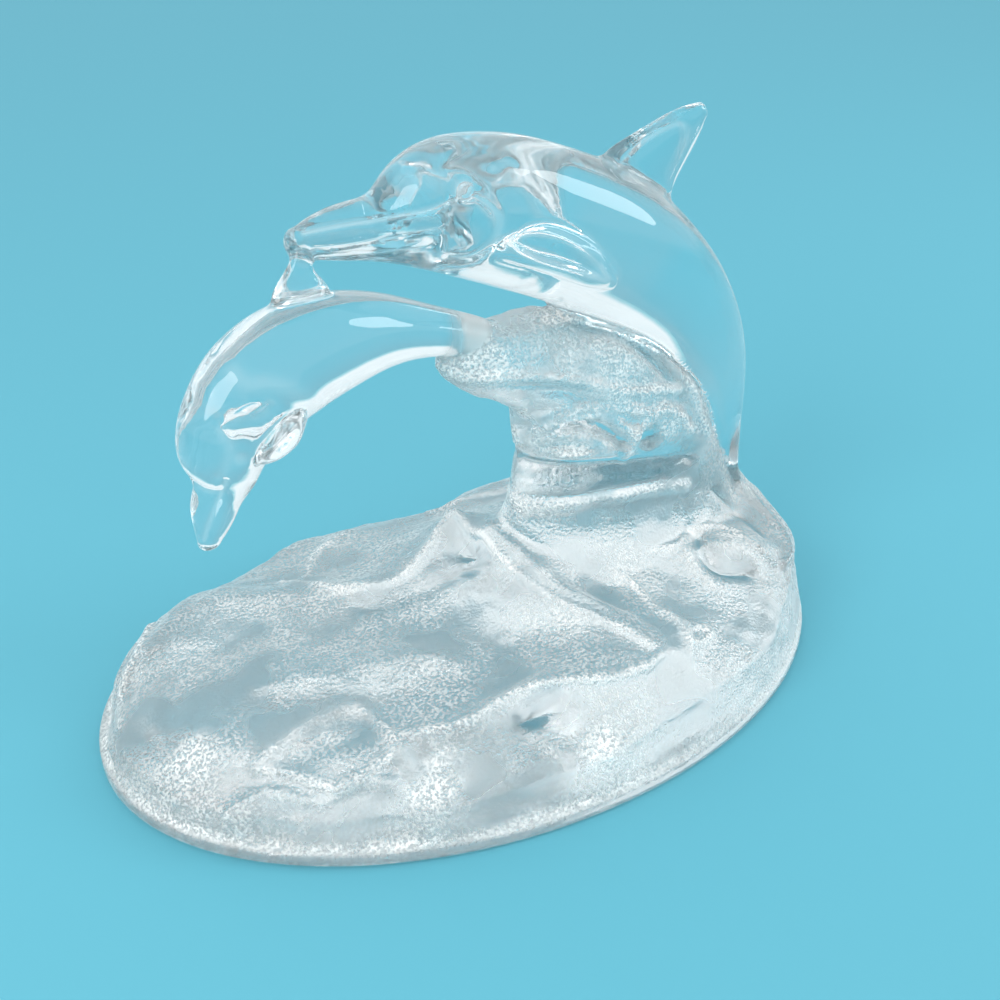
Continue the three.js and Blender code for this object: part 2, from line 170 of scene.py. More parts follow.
@dataclass
class Loft:
    """A smooth closed body with rounded ends through sections.

    A row holds a section's point on the back, its point on the belly and half its width, in millimetres.
    """

    name: str
    rows: Sequence[Row]
    along: int = 72
    around: int = 56
    cap_rows: int = 12
    cap_share: float = 0.8
    step: float = 0.01

    def sample(self, place: np.ndarray) -> np.ndarray:
        """The sizes of the body anywhere between its sections, on a natural cubic spline.

        Args:
            place: places along the body, counted in sections.

        Returns:
            The seven numbers of a section for each place, one a row.
        """
        values = np.array(self.rows, dtype=float)
        last = len(values) - 1
        system = np.eye(last + 1)
        right = np.zeros_like(values)
        for i in range(1, last):
            system[i, i - 1:i + 2] = (1.0, 4.0, 1.0)
            right[i] = 6.0 * (values[i + 1] - 2.0 * values[i] + values[i - 1])
        bend = np.linalg.solve(system, right)
        step = np.clip(np.floor(place).astype(int), 0, last - 1)
        b = (place - step)[:, None]
        a = 1.0 - b
        curve = ((a**3 - a) * bend[step] + (b**3 - b) * bend[step + 1]) / 6.0
        return a * values[step] + b * values[step + 1] + curve

    def ahead(self, place: np.ndarray) -> np.ndarray:
        """The directions of the middle line.

        Args:
            place: places along the body, counted in sections.

        Returns:
            A unit vector for each place.
        """
        last = len(self.rows) - 1
        before = self.sample(np.maximum(place - self.step, 0.0))
        after = self.sample(np.minimum(place + self.step, last))
        way = (after[:, :3] + after[:, 3:6] - before[:, :3] - before[:, 3:6]) / 2.0
        return way / np.linalg.norm(way, axis=1, keepdims=True)

    def skin(self, row: np.ndarray, turn: np.ndarray) -> np.ndarray:
        """The surface of the body, the rounded ends included.

        Args:
            row: row numbers from the first end.
            turn: turns round the middle line, in radians.

        Returns:
            The points in millimetres, one a row.
        """
        last = len(self.rows) - 1
        body = self.along - 2 * self.cap_rows
        place = np.clip((row - self.cap_rows) / body, 0.0, 1.0) * last
        start = np.clip(1.0 - row / self.cap_rows, 0.0, 1.0)
        end = np.clip((row - self.cap_rows - body) / self.cap_rows, 0.0, 1.0)
        lift = (end - start) * math.pi / 2.0
        sizes = self.sample(place)
        middle = (sizes[:, :3] + sizes[:, 3:6]) / 2.0
        reach = sizes[:, :3] - middle
        side = sizes[:, 6:7]
        way = self.ahead(place)
        across = np.cross(way, reach)
        across *= side / np.linalg.norm(across, axis=1, keepdims=True)
        depth = self.cap_share * np.minimum(side, np.linalg.norm(reach, axis=1, keepdims=True))
        shrink = np.cos(lift)[:, None]
        ring = reach * np.sin(turn)[:, None] + across * np.cos(turn)[:, None]
        return middle + way * depth * np.sin(lift)[:, None] + ring * shrink

    def build(self) -> bpy.types.Object:
        """Makes the body as one closed mesh."""
        return wrapped_sphere(self.name, self.along, self.around, self.skin)


def smooth_line(line: Sequence[Point], rounds: int = 2, cut: float = 0.25) -> np.ndarray:
    """A line with its corners cut off and its ends kept.

    Args:
        line: its points.
        rounds: how many times the corners are cut.
        cut: which share of each stretch is cut at both ends.

    Returns:
        The points, one a row.
    """
    points = np.array(line, dtype=float)
    for _ in range(rounds if len(points) > 2 else 0):
        first, second = points[:-1], points[1:]
        ends = [(1.0 - cut) * first + cut * second, cut * first + (1.0 - cut) * second]
        points = np.concatenate([points[:1], np.stack(ends, axis=1).reshape(-1, 3), points[-1:]])
    return points


def oval(middle: Point, along: Point, across: Point, count: int = 12) -> tuple[Point, ...]:
    """A closed oval line.

    Args:
        middle: its middle.
        along: its first half axis.
        across: its second half axis.
        count: how many stretches it has.

    Returns:
        Its points, the first one again at the end.
    """
    turns = np.linspace(0.0, 2.0 * math.pi, count + 1)[:, None]
    ring = np.array(middle) + np.cos(turns) * np.array(along) + np.sin(turns) * np.array(across)
    return tuple(tuple(point) for point in ring)


@dataclass(frozen=True)
class Crease:
    """A line pressed into the glass, or raised from it where the depth is negative.

    Its third number is how white and grained the line is: white crusting with a painted highlight on frosted
    glass, a painted highlight alone on polished glass; its clear is how far it is polished.
    """

    line: Sequence[Point]
    depth: float
    width: float
    crust_and_highlight: float = 0.0
    clear: float = 0.0
    lay: Lay = Lay.ROUND
    both_sides: bool = True
    plane: float = 0.0
    on: str = ""
    fine: bool = True
    reach_widths: float = 3.5
    form_widths: float = 0.8
    fine_widths: float = 1.1
    fine_margin: float = 0.4

    def distances(self, points: np.ndarray) -> np.ndarray:
        """How far each point is from the line.

        Args:
            points: the points in millimetres.

        Returns:
            The distances in millimetres, infinite where the line is out of reach.
        """
        away = np.full(len(points), np.inf)
        looked = points * self.lay.value
        path = smooth_line(self.line) * self.lay.value
        reach = self.reach_widths * self.width
        close = np.all((looked > path.min(axis=0) - reach) & (looked < path.max(axis=0) + reach), axis=1)
        looked = looked[close]
        nearest = np.full(len(looked), np.inf)
        for a, b in zip(path, path[1:]):
            way = b - a
            share = np.clip((looked - a) @ way / max(way @ way, 1e-9), 0.0, 1.0)
            nearest = np.minimum(nearest, np.linalg.norm(looked - a - share[:, None] * way, axis=1))
        away[close] = nearest
        return away

    def sink(self, points: np.ndarray) -> np.ndarray:
        """How deep each point is pressed in, in millimetres."""
        return self.depth * np.exp(-((self.distances(points) / self.width) ** 2))

    def form(self, points: np.ndarray) -> np.ndarray:
        """How strongly the line's finish shows at each point."""
        return np.exp(-((self.distances(points) / (self.form_widths * self.width)) ** 2))

    def near(self, points: np.ndarray) -> np.ndarray:
        """Which points are close enough to the line to need a finer skin."""
        return self.distances(points) < self.fine_widths * self.width + self.fine_margin


@dataclass(frozen=True)
class Dent:
    """A bowl pressed into the glass, which may leave a bead in its middle alone."""

    middle: Point
    reach: Point
    depth: float = 0.0
    crust_and_highlight: float = 0.0
    clear: float = 0.0
    core: float = 0.0
    lay: Lay = Lay.ROUND
    both_sides: bool = True
    plane: float = 0.0
    on: str = ""
    fine: bool = True
    steepness: float = 1.5
    form_gain: float = 2.0
    core_edge: float = 1.4
    core_margin: float = 0.01

    def share(self, points: np.ndarray) -> np.ndarray:
        """How far out each point is, 1 at the rim of the bowl."""
        looked = (points - np.array(self.middle)) * self.lay.value / np.array(self.reach)
        return np.linalg.norm(looked, axis=1)

    def bowl(self, points: np.ndarray) -> np.ndarray:
        """The form of the bowl: 1 in the middle and 0 from the rim on."""
        return np.clip(1.0 - self.share(points) ** 2, 0.0, 1.0) ** self.steepness

    def sink(self, points: np.ndarray) -> np.ndarray:
        """How deep each point is pressed in.

        Args:
            points: the points in millimetres.

        Returns:
            The depths in millimetres.
        """
        away = np.linalg.norm(points - np.array(self.middle), axis=1)
        edge = self.core * self.core_edge + self.core_margin
        spared = smoothstep(self.core, edge, away) if self.core else 1.0
        return self.depth * self.bowl(points) * spared

    def form(self, points: np.ndarray) -> np.ndarray:
        """How strongly the bowl's finish shows at each point."""
        return np.minimum(1.0, self.form_gain * self.bowl(points))

    def near(self, points: np.ndarray) -> np.ndarray:
        """Which points are close enough to the bowl to need a finer skin."""
        return self.share(points) < 1.0


Mark = Crease | Dent


def creases(
    rows: Sequence[LineRow], spot: Callable[..., Point] = lambda *point: point, **shared: object
) -> list[Mark]:
    """Makes the lines of a table.

    Args:
        rows: for each line its depth, width, white crusting and painted highlight, and clear, and then its
            points.
        spot: gives a point's place in space where the table has two numbers for it.
        shared: what all the lines have in common.

    Returns:
        The lines.
    """
    return [
        Crease(tuple(spot(*point) for point in line), depth, width, crust_and_highlight, clear, **shared)
        for depth, width, crust_and_highlight, clear, *line in rows
    ]


def bowls(rows: Sequence[BowlRow], **shared: object) -> list[Mark]:
    """The bowls of a table of middles, reaches, depths, white crusting with painted highlights, and clears,
    which have the rest in common.
    """
    return [Dent(*row, **shared) for row in rows]


@dataclass(frozen=True)
class Ripple:
    """An uneven surface of bumps of one size, the same on every run."""

    size: float
    depth: float
    seed: int
    cells: int = 32
    start: float = 100.0

    def rise(self, points: np.ndarray) -> np.ndarray:
        """How far each point is raised.

        Args:
            points: the points in millimetres.

        Returns:
            The rises in millimetres, negative in the hollows.
        """
        lattice = np.random.default_rng(self.seed).uniform(-1.0, 1.0, (self.cells,) * 3)
        place = points / self.size + self.start
        low = np.floor(place).astype(int)
        part = place - low
        part = part * part * (3.0 - 2.0 * part)
        total = np.zeros(len(points))
        for corner in np.ndindex(2, 2, 2):
            weight = np.prod(np.where(np.array(corner) == 1, part, 1.0 - part), axis=1)
            x, y, z = ((low + np.array(corner)) % self.cells).T
            total += weight * lattice[x, y, z]
        return self.depth * total


@dataclass
class Part:
    """One closed body of the mould, with its finish and the sub-assembly that it belongs to."""

    shape: bpy.types.Object
    finish: Finish
    owner: str


@dataclass
class Dolphin:
    """A leaping dolphin of polished glass, whose far side mirrors its near side at an upright plane.

    A row of lines holds a depth, width, painted highlight strength and clear, and then the points of one line
    on the near side.
    The far-side white bowls, seen through the body, are a hazy mould texture with a painted sheen on it.
    """

    name: str
    body: Sequence[Row]
    fin: Sequence[Row]
    flipper: Sequence[Row]
    lines: Sequence[LineRow]
    along: int
    around: int
    eye: Point
    eye_radius: float
    socket_reach: float
    socket_depth: float
    # Strength of the painted highlight ring round the eye socket.
    socket_highlight: float
    # Faint white bowls of haze and painted sheen on the far side.
    haze_and_sheen: Sequence[BowlRow] = ()
    plane: float = 0.0

    def bead(self, place: Point) -> bpy.types.Object:
        """Makes a round bead for an eye.

        Args:
            place: its middle, in millimetres.

        Returns:
            The bead.
        """
        deselect()
        bpy.ops.mesh.primitive_uv_sphere_add(
            segments=48, ring_count=32, radius=self.eye_radius * MM, location=[v * MM for v in place]
        )
        piece = bpy.context.object
        piece.name = self.name + "_eye"
        bpy.ops.object.transform_apply(location=True, rotation=True, scale=True)
        return piece

    def build(self) -> list[Part]:
        """Makes the body, the fin, both flippers and both eyes."""
        shapes = [
            Loft(self.name + "_body", self.body, self.along, self.around).build(),
            Loft(self.name + "_fin", self.fin).build(),
            Loft(self.name + "_flipper", self.flipper).build(),
            Loft(self.name + "_flipper_far", mirrored(self.flipper, self.plane)).build(),
            self.bead(self.eye),
            self.bead((self.eye[0], 2 * self.plane - self.eye[1], self.eye[2])),
        ]
        LOG.info("%s: %d parts", self.name, len(shapes))
        return [Part(shape, Finish.POLISHED, self.name) for shape in shapes]

    def marks(self) -> list[Mark]:
        """The lines, the eye sockets with a painted highlight ring, and the far-side white bowls of haze and
        painted sheen.
        """
        socket = (self.eye, (self.socket_reach,) * 3, self.socket_depth, self.socket_highlight)
        return [
            *creases(self.lines, plane=self.plane),
            Dent(*socket, core=self.eye_radius, plane=self.plane),
            *bowls(self.haze_and_sheen, both_sides=False, fine=False),
        ]


@dataclass
class BigDolphin(Dolphin):
    """The large dolphin, which arches over the wave."""

    name: str = "big_dolphin"
    body: Sequence[Row] = (
        (-36.4, 0, 115.3, -36.4, 0, 109.4, 3.3),
        (-31.8, 0, 117.1, -31.4, 0, 108.2, 5.0),
        (-25.9, 0, 118.3, -25.3, 0, 107.0, 6.2),
        (-20.3, 0, 119.2, -18.9, 0, 105.5, 7.4),
        (-16.0, 0, 123.0, -13.5, 0, 103.6, 9.4),
        (-10.0, 0, 126.8, -7.0, 0, 101.0, 11.6),
        (-1.1, 0, 128.0, 0.9, 0, 97.6, 13.2),
        (10.8, 0, 126.4, 9.8, 0, 93.6, 14.0),
        (22.7, 0, 122.4, 18.3, 0, 89.5, 14.2),
        (36.6, 0, 116.1, 26.7, 0, 84.5, 14.0),
        (48.5, 0, 107.9, 35.6, 0, 79.5, 13.4),
        (59.4, 0, 96.6, 44.5, 0, 74.0, 12.2),
        (67.0, 0, 85.4, 51.5, 0, 67.6, 10.6),
        (72.3, 0, 73.0, 57.9, 0, 60.6, 8.8),
        (74.7, 0, 60.1, 62.8, 0, 53.2, 7.0),
        (75.3, 0, 47.2, 65.9, 0, 44.2, 5.8),
        (75.7, 0, 35.3, 66.4, 0, 34.3, 6.0),
        (77.3, 0, 21.4, 64.4, 0, 21.4, 7.0),
    )
    fin: Sequence[Row] = (
        (25.7, 0, 112.7, 50.5, 0, 98.8, 3.6),
        (32.6, 0, 119.2, 50.1, 0, 107.1, 3.2),
        (39.6, 0, 122.4, 51.9, 0, 112.1, 2.8),
        (45.9, 0, 124.8, 54.5, 0, 116.3, 2.4),
        (51.7, 0, 126.4, 56.6, 0, 120.0, 2.0),
        (55.9, 0, 126.8, 58.0, 0, 123.4, 1.4),
    )
    flipper: Sequence[Row] = (
        (1.5, -11.9, 110.3, 1.1, -11.9, 106.1, 2.0),
        (8.4, -13.9, 112.3, 6.8, -13.9, 103.8, 2.8),
        (16.0, -14.5, 109.5, 13.2, -14.5, 100.6, 2.8),
        (22.5, -14.3, 105.0, 19.7, -14.3, 97.4, 2.4),
        (26.7, -14.1, 99.2, 25.3, -14.1, 95.6, 1.7),
    )
    # The lips, chin, cheek and brow, the fin's rim, and the flipper's rim and dish; the third number paints a
    # highlight along a line.
    lines: Sequence[LineRow] = (
        (0.75, 0.75, 0.3, 0, (-35.7, -2, 115), (-31.3, -3.7, 115.7), (-26, -4.8, 116.1),
         (-19.2, -6.2, 116.6), (-13.2, -9.5, 117.6), (-10, -10.3, 118.8)),
        (0.525, 0.675, 0.2, 0, (-34.5, -4, 112.1), (-29.8, -5.3, 112.1), (-24.1, -6.4, 112.6),
         (-18.4, -7.8, 113), (-14.4, -9.5, 114), (-11.3, -10.7, 114.2)),
        (0.3, 0.675, 0.15, 0, (-33.5, -3, 109.8), (-27.6, -4.7, 109.7), (-21.9, -5.8, 109.4),
         (-16.5, -7.9, 109.9), (-13, -9.5, 110.8)),
        (0.6, 1.35, 0.22, 0, (-3.4, -11.3, 119.6), (-1, -12.4, 117.5), (0.5, -12.9, 114.9),
         (0, -13, 111.6), (-2.4, -12.1, 108.7), (-4.9, -10.5, 107), (-8.7, -9.4, 107.3)),
        (-0.4, 2.4, 0.1, 0, (-15.6, -4.8, 121.8), (-9.4, -8.1, 122.9), (-5, -8.4, 123.9),
         (-0.3, -10.4, 122), (4.3, -9.6, 122.8)),
        (0.5, 0.8, 0.25, 0, (31.5, -3.2, 112.5), (36.6, -1.8, 118.9), (42.9, -1.5, 122.1),
         (52, -1.6, 124.4), (52.6, -2, 119), (49.6, -2.8, 112.4), (47.6, -3.2, 106)),
        (-0.45, 0.9, 0.3, 0, (1.9, -13.6, 110), (6.2, -14.6, 111.6), (12.1, -16.2, 109.8),
         (19, -16.6, 104.9), (25.3, -15.8, 97.4), (19.2, -16.6, 100.9), (11.9, -16.8, 103.8),
         (5.5, -15.9, 106.8), (1.9, -13.6, 110)),
        (1.1, 1.9, 0, 0, (5, -15, 109), (12, -17, 106.6), (19.5, -16.8, 101.9)),
    )
    # Faint white bowls of haze and painted sheen on the far side, seen through the body.
    haze_and_sheen: Sequence[BowlRow] = (
        ((18, 12, 112), (16, 16, 9), 0, 0.12, 0),
        ((40, 12, 98), (18, 16, 14), 0, 0.12, 0),
        ((66, 0, 70), (12, 12, 24), 0, 0.08, 0),
    )
    along: int = 170
    around: int = 112
    eye: Point = (-5.7, -9.7, 120.2)
    eye_radius: float = 1.4
    socket_reach: float = 3.0
    socket_depth: float = 0.7
    socket_highlight: float = 0.3


@dataclass
class LittleDolphin(Dolphin):
    """The small dolphin, which dives beside the wave and looks a little towards the front."""

    name: str = "little_dolphin"
    body: Sequence[Row] = (
        (-65.2, -8.9, 58.7, -60.4, -8.9, 58.9, 2.6),
        (-65.6, -8.9, 63.1, -57.6, -8.9, 62.7, 3.8),
        (-65.4, -8.9, 67.7, -55.2, -8.9, 67.1, 5.0),
        (-64.4, -8.9, 71.6, -52.2, -8.7, 70.6, 6.4),
        (-66.2, -8.5, 77.0, -50.2, -8.3, 73.5, 8.0),
        (-65.4, -8.1, 84.3, -47.3, -7.9, 76.0, 9.2),
        (-61.2, -7.3, 91.9, -43.4, -7.1, 78.6, 9.8),
        (-55.1, -6.3, 97.8, -38.8, -6.2, 80.4, 10.2),
        (-46.7, -5.2, 101.8, -33.8, -5.0, 81.9, 10.2),
        (-37.3, -4.0, 103.0, -28.4, -3.8, 83.1, 9.6),
        (-27.9, -2.8, 101.8, -22.4, -2.6, 84.1, 8.6),
        (-18.5, -1.8, 98.8, -16.5, -1.6, 84.3, 7.4),
        (-9.0, -1.0, 94.4, -10.5, -0.8, 83.5, 6.0),
        (-0.1, -0.4, 90.3, -2.1, -0.3, 81.5, 5.2),
        (8.8, 0, 85.9, 6.8, 0, 77.6, 5.0),
    )
    fin: Sequence[Row] = (
        (-45.7, -3.8, 96.8, -28.9, -3.2, 97.8, 2.8),
        (-44.1, -3.6, 102.4, -31.6, -3.2, 103.4, 2.4),
        (-42.4, -3.2, 105.8, -33.4, -3.0, 106.1, 2.1),
        (-40.0, -2.8, 108.5, -34.8, -2.6, 108.5, 1.8),
        (-38.4, -2.2, 110.7, -35.2, -2.0, 110.7, 1.6),
    )
    flipper: Sequence[Row] = (
        (-53.1, -17.7, 77.5, -54.1, -16.6, 78.9, 0.9),
        (-50.4, -18.2, 78.0, -52.7, -15.7, 81.1, 1.6),
        (-47.6, -18.3, 79.2, -50.5, -15.1, 83.1, 2.2),
        (-45.3, -17.9, 80.9, -47.9, -15.0, 84.5, 2.4),
        (-43.6, -16.6, 83.1, -45.4, -14.6, 85.6, 2.4),
    )
    # The mouth, melon, cheek and shoulder, the flipper's rim and dish, and the fin's rim, dish and foot; the
    # third number paints a highlight along a line.
    lines: Sequence[LineRow] = (
        (0.6, 0.7, 0.25, 0, (-64.6, -10.8, 60.4), (-63.2, -12.7, 65.7), (-61.5, -14, 70.3),
         (-60, -15.6, 74.7)),
        (0.5, 1, 0.2, 0, (-65.4, -8.5, 73.4), (-64.4, -10.6, 72.9), (-63.3, -12.5, 72.3),
         (-61.7, -14.1, 72.2)),
        (0.6, 1.5, 0.15, 0, (-59.8, -15.4, 86), (-58.5, -16.4, 82.6), (-59.2, -16.3, 79.4),
         (-61, -15.2, 76)),
        (-0.5, 2.2, 0.12, 0, (-55, -12.4, 94.8), (-53.2, -14.8, 92.8), (-49.5, -15.7, 92.9),
         (-45.4, -16.2, 90.5), (-41.6, -14.7, 85.7)),
        (-0.5, 0.8, 0.35, 0, *oval((-49.5, -18.0, 81.9), (3.9, 0.4, 2.8), (-1.1, 1.2, 1.5))),
        (1.1, 1.4, 0, 0, (-50.4, -18.2, 81.2), (-48, -18, 82.9)),
        (-0.7, 1.2, 0.3, 0, (-43.7, -4.9, 102.3), (-42, -4.4, 105.2), (-39.7, -4.2, 107.8),
         (-38, -4.2, 109.1), (-36.8, -4.7, 107.4), (-34.6, -4.9, 105.1), (-31.9, -3.9, 103.4)),
        (0.9, 1.9, 0, 0, (-38.6, -5.2, 104.2), (-38, -4.9, 106.2)),
        (0.35, 0.9, 0, 0, (-45.3, -6.9, 102), (-40.1, -6.5, 102.7), (-34.6, -5.4, 102.8),
         (-28.3, -2.5, 101.7)),
    )
    along: int = 150
    around: int = 96
    eye: Point = (-57.0, -15.3, 79.6)
    eye_radius: float = 1.0
    socket_reach: float = 2.6
    socket_depth: float = 0.5
    socket_highlight: float = 0.25
    plane: float = -8.3


@dataclass
class WaveColumn:
    """The rising wave that carries both dolphins, with the flukes of the large one at its foot.

    A row of ribs or fluke_lines holds a depth, width, white crusting with a painted highlight, and clear, and
    then the points of one line, which are x and z for a rib. A row of scoops or hollows holds a middle, a
    reach, a depth, a white crusting with a painted highlight, and a clear.
    """

    name: str = "wave"
    column: Sequence[Row] = (
        (-1.1, 0, 21.4, 79.3, 0, 21.4, 24.0),
        (5.9, 0, 29.4, 74.3, 0, 29.4, 17.0),
        (9.8, 0, 37.3, 71.3, 0, 37.3, 13.6),
        (11.2, 0, 45.2, 68.4, 0, 45.2, 12.4),
        (12.2, 0, 53.2, 65.4, 0, 53.2, 12.0),
        (11.8, 0, 60.1, 61.4, 0, 60.1, 12.0),
        (8.4, 0, 66.6, 56.5, 0, 66.6, 12.0),
        (-0.1, 0, 71.5, 51.5, 0, 71.5, 11.6),
        (-5.7, 0, 76.0, 45.5, 0, 76.0, 11.0),
        (-7.6, 0, 80.5, 38.6, 0, 80.5, 9.6),
        (-5.1, 0, 84.9, 30.7, 0, 84.9, 7.0),
    )
    fluke: Sequence[Row] = (
        (76.3, 1.0, 32.3, 64.4, 1.0, 30.4, 4.0),
        (79.9, -5.0, 27.4, 60.4, -7.9, 25.4, 3.2),
        (81.6, -11.9, 23.0, 63.0, -14.9, 21.8, 2.6),
        (81.3, -18.5, 20.0, 69.9, -20.2, 18.8, 2.2),
        (78.7, -23.2, 17.9, 75.3, -23.4, 17.3, 1.6),
    )
    ribs: Sequence[LineRow] = (
        (-1.2, 1.2, 0.8, 0, (17.5, 87.2), (23.8, 86.2), (32.7, 83.5), (39.4, 79.5), (46.3, 73),
         (52.3, 65.9), (56.2, 58.5), (60, 50)),
        (0.9, 1.1, 0, 0.8, (24.7, 84), (32, 80.8), (40.4, 75.3), (45.3, 70), (50.7, 60.8)),
        (-1.3, 1.2, 0.9, 0, (6.3, 77.8), (10.2, 77.4), (16.7, 76), (22.3, 73.6), (28.2, 71.1),
         (36.4, 67.5), (44.2, 66.5), (49.6, 64)),
        (0.8, 1.6, 0, 0.5, (8, 74.6), (16, 73.4), (24, 70.6)),
        (-0.9, 1, 0.9, 0, (22, 71.7), (29.9, 68.5), (38.4, 63)),
        (-1, 1.1, 0.9, 0, (17.6, 66.6), (20.6, 68.4), (25.7, 67.8), (31, 65.3), (38.4, 62.5)),
        (-1.3, 1.3, 1, 0, (12, 60), (14.3, 62.6), (17.3, 65.6), (25.8, 66.1), (31.1, 62.1), (35.4, 58)),
        (1.2, 1.2, 0, 1, (18.5, 63.6), (24.5, 63.2), (29.5, 60), (33, 56)),
        (-1.2, 1.3, 1, 0, (12.3, 57.4), (16.3, 61.2), (21.1, 60.6), (25.8, 58.4), (30.1, 55.8)),
        (-1.1, 1.4, 1, 0, (15.4, 57), (19.4, 55.3), (24.3, 54.9), (30.2, 54.5)),
        (-1.3, 1.3, 1, 0, (34.3, 52.2), (35.6, 58.1), (39.6, 61.1), (44, 62.5), (49.9, 58.1),
         (52.8, 53.8)),
        (1.2, 1.8, 0, 1, (12.5, 52.8), (20, 52.4), (30, 51.5), (40.8, 49.5), (53.6, 46.6)),
        (-1.1, 1.6, 0.9, 0, (11.8, 41.9), (18.7, 42.2), (27, 43.6), (33.3, 43), (40.4, 42.4),
         (51.9, 39.7)),
        (-0.8, 1.3, 0.8, 0, (-7.3, 80.6), (-4.4, 77.7), (3, 78.1)),
    )
    scoops: Sequence[BowlRow] = (
        ((0.5, -12, 80.5), (8, 9, 5.5), 0, 0.6, 0),
        ((27, -12, 77), (16, 9, 6.5), 0, 0.5, 0),
        ((21.5, -12, 57.4), (8, 9, 2.4), 1, 0.8, 0),
        ((40.5, -12, 55.5), (3.6, 9, 4), 1.6, 0, 1),
        ((46.5, -12, 57), (4, 9, 4), 0, 0.7, 0),
        ((30, -12, 48), (34, 9, 6), 0, 0, 0.9),
    )
    fluke_lines: Sequence[LineRow] = (
        (-0.9, 1.3, 0, 0.6, (73, -5, 33), (76.3, -8.5, 27.8), (77.7, -15.5, 23.4), (78.2, -21.1, 20.5),
         (74.7, -26.6, 20.3), (70.5, -29.6, 21.1)),
        (-1.1, 1.2, 0.5, 0, (54.4, -15.9, 28.6), (59.9, -17.1, 27.8), (62, -22.3, 27.8), (63.5, -27.5, 26),
         (67.2, -29.5, 23)),
        (1.6, 2, 0, 1, (51.8, -16.6, 28.7), (48.4, -25.3, 27.4), (50.4, -29.9, 25.2), (57.3, -31.3, 23.8)),
        (-0.8, 1.2, 0.8, 0, (48.4, -17.6, 28.7), (44.8, -25.3, 27), (47, -32.5, 24.6)),
        (0.8, 1.3, 0, 0.9, (61.7, -10.5, 34.7), (69.9, -12, 26.3), (69.7, -21.9, 25.1)),
    )
    hollows: Sequence[BowlRow] = (
        ((-1, -1, 87), (6.5, 9, 6.5), 0, 0.6, 0),
        ((58, -24, 26.6), (5.5, 5, 6), 0, 0.6, 0),
    )
    along: int = 100
    around: int = 150
    cap_share: float = 0.4

    def build(self) -> list[Part]:
        """Makes the column and the two blades of the fluke."""
        lofts = (
            (Loft("wave_column", self.column, self.along, self.around, cap_share=self.cap_share), self.name),
            (Loft("fluke", self.fluke), "fluke"),
            (Loft("fluke_far", mirrored(self.fluke)), "fluke"),
        )
        LOG.info("%s: %d parts", self.name, len(lofts))
        return [Part(loft.build(), Finish.FROSTED, owner) for loft, owner in lofts]

    def marks(self) -> list[Mark]:
        """The ribs, scoops and clear bands of the column, and the lines and hollows of the flukes."""
        side = {"lay": Lay.SIDE, "on": self.name, "fine": False}
        return [
            *creases(self.ribs, lambda x, z: (x, 0.0, z), **side),
            *bowls(self.scoops, **side),
            *creases(self.fluke_lines, fine=False),
            *bowls(self.hollows, fine=False),
        ]


@dataclass(frozen=True)
class Ridge:
    """A crest of water through points x, y and rise, with a width on its left and on its right."""

    line: Sequence[Point]
    left: float
    right: float
    crest_round: float = 1.4

    def rise(self, x: np.ndarray, y: np.ndarray) -> np.ndarray:
        """What the crest adds to the height of the water.

        Args:
            x: the places along the base, in millimetres.
            y: the places across it.

        Returns:
            The rise at each place, in millimetres.
        """
        away = np.full(len(x), np.inf)
        rise = np.zeros(len(x))
        width = np.ones(len(x))
        for (ax, ay, start), (bx, by, end) in zip(self.line, self.line[1:]):
            dx, dy = bx - ax, by - ay
            along = np.clip(((x - ax) * dx + (y - ay) * dy) / (dx * dx + dy * dy), 0.0, 1.0)
            off = np.hypot(x - ax - dx * along, y - ay - dy * along)
            lean = (dx * (y - ay) - dy * (x - ax)) / (math.hypot(dx, dy) * np.maximum(off, self.crest_round))
            nearer = off < away
            away = np.where(nearer, off, away)
            rise = np.where(nearer, start + (end - start) * along, rise)
            sided = self.right + (self.left - self.right) * (1.0 + np.clip(lean, -1.0, 1.0)) / 2.0
            width = np.where(nearer, sided, width)
        return rise * np.exp((self.crest_round - np.hypot(away, self.crest_round)) / width)


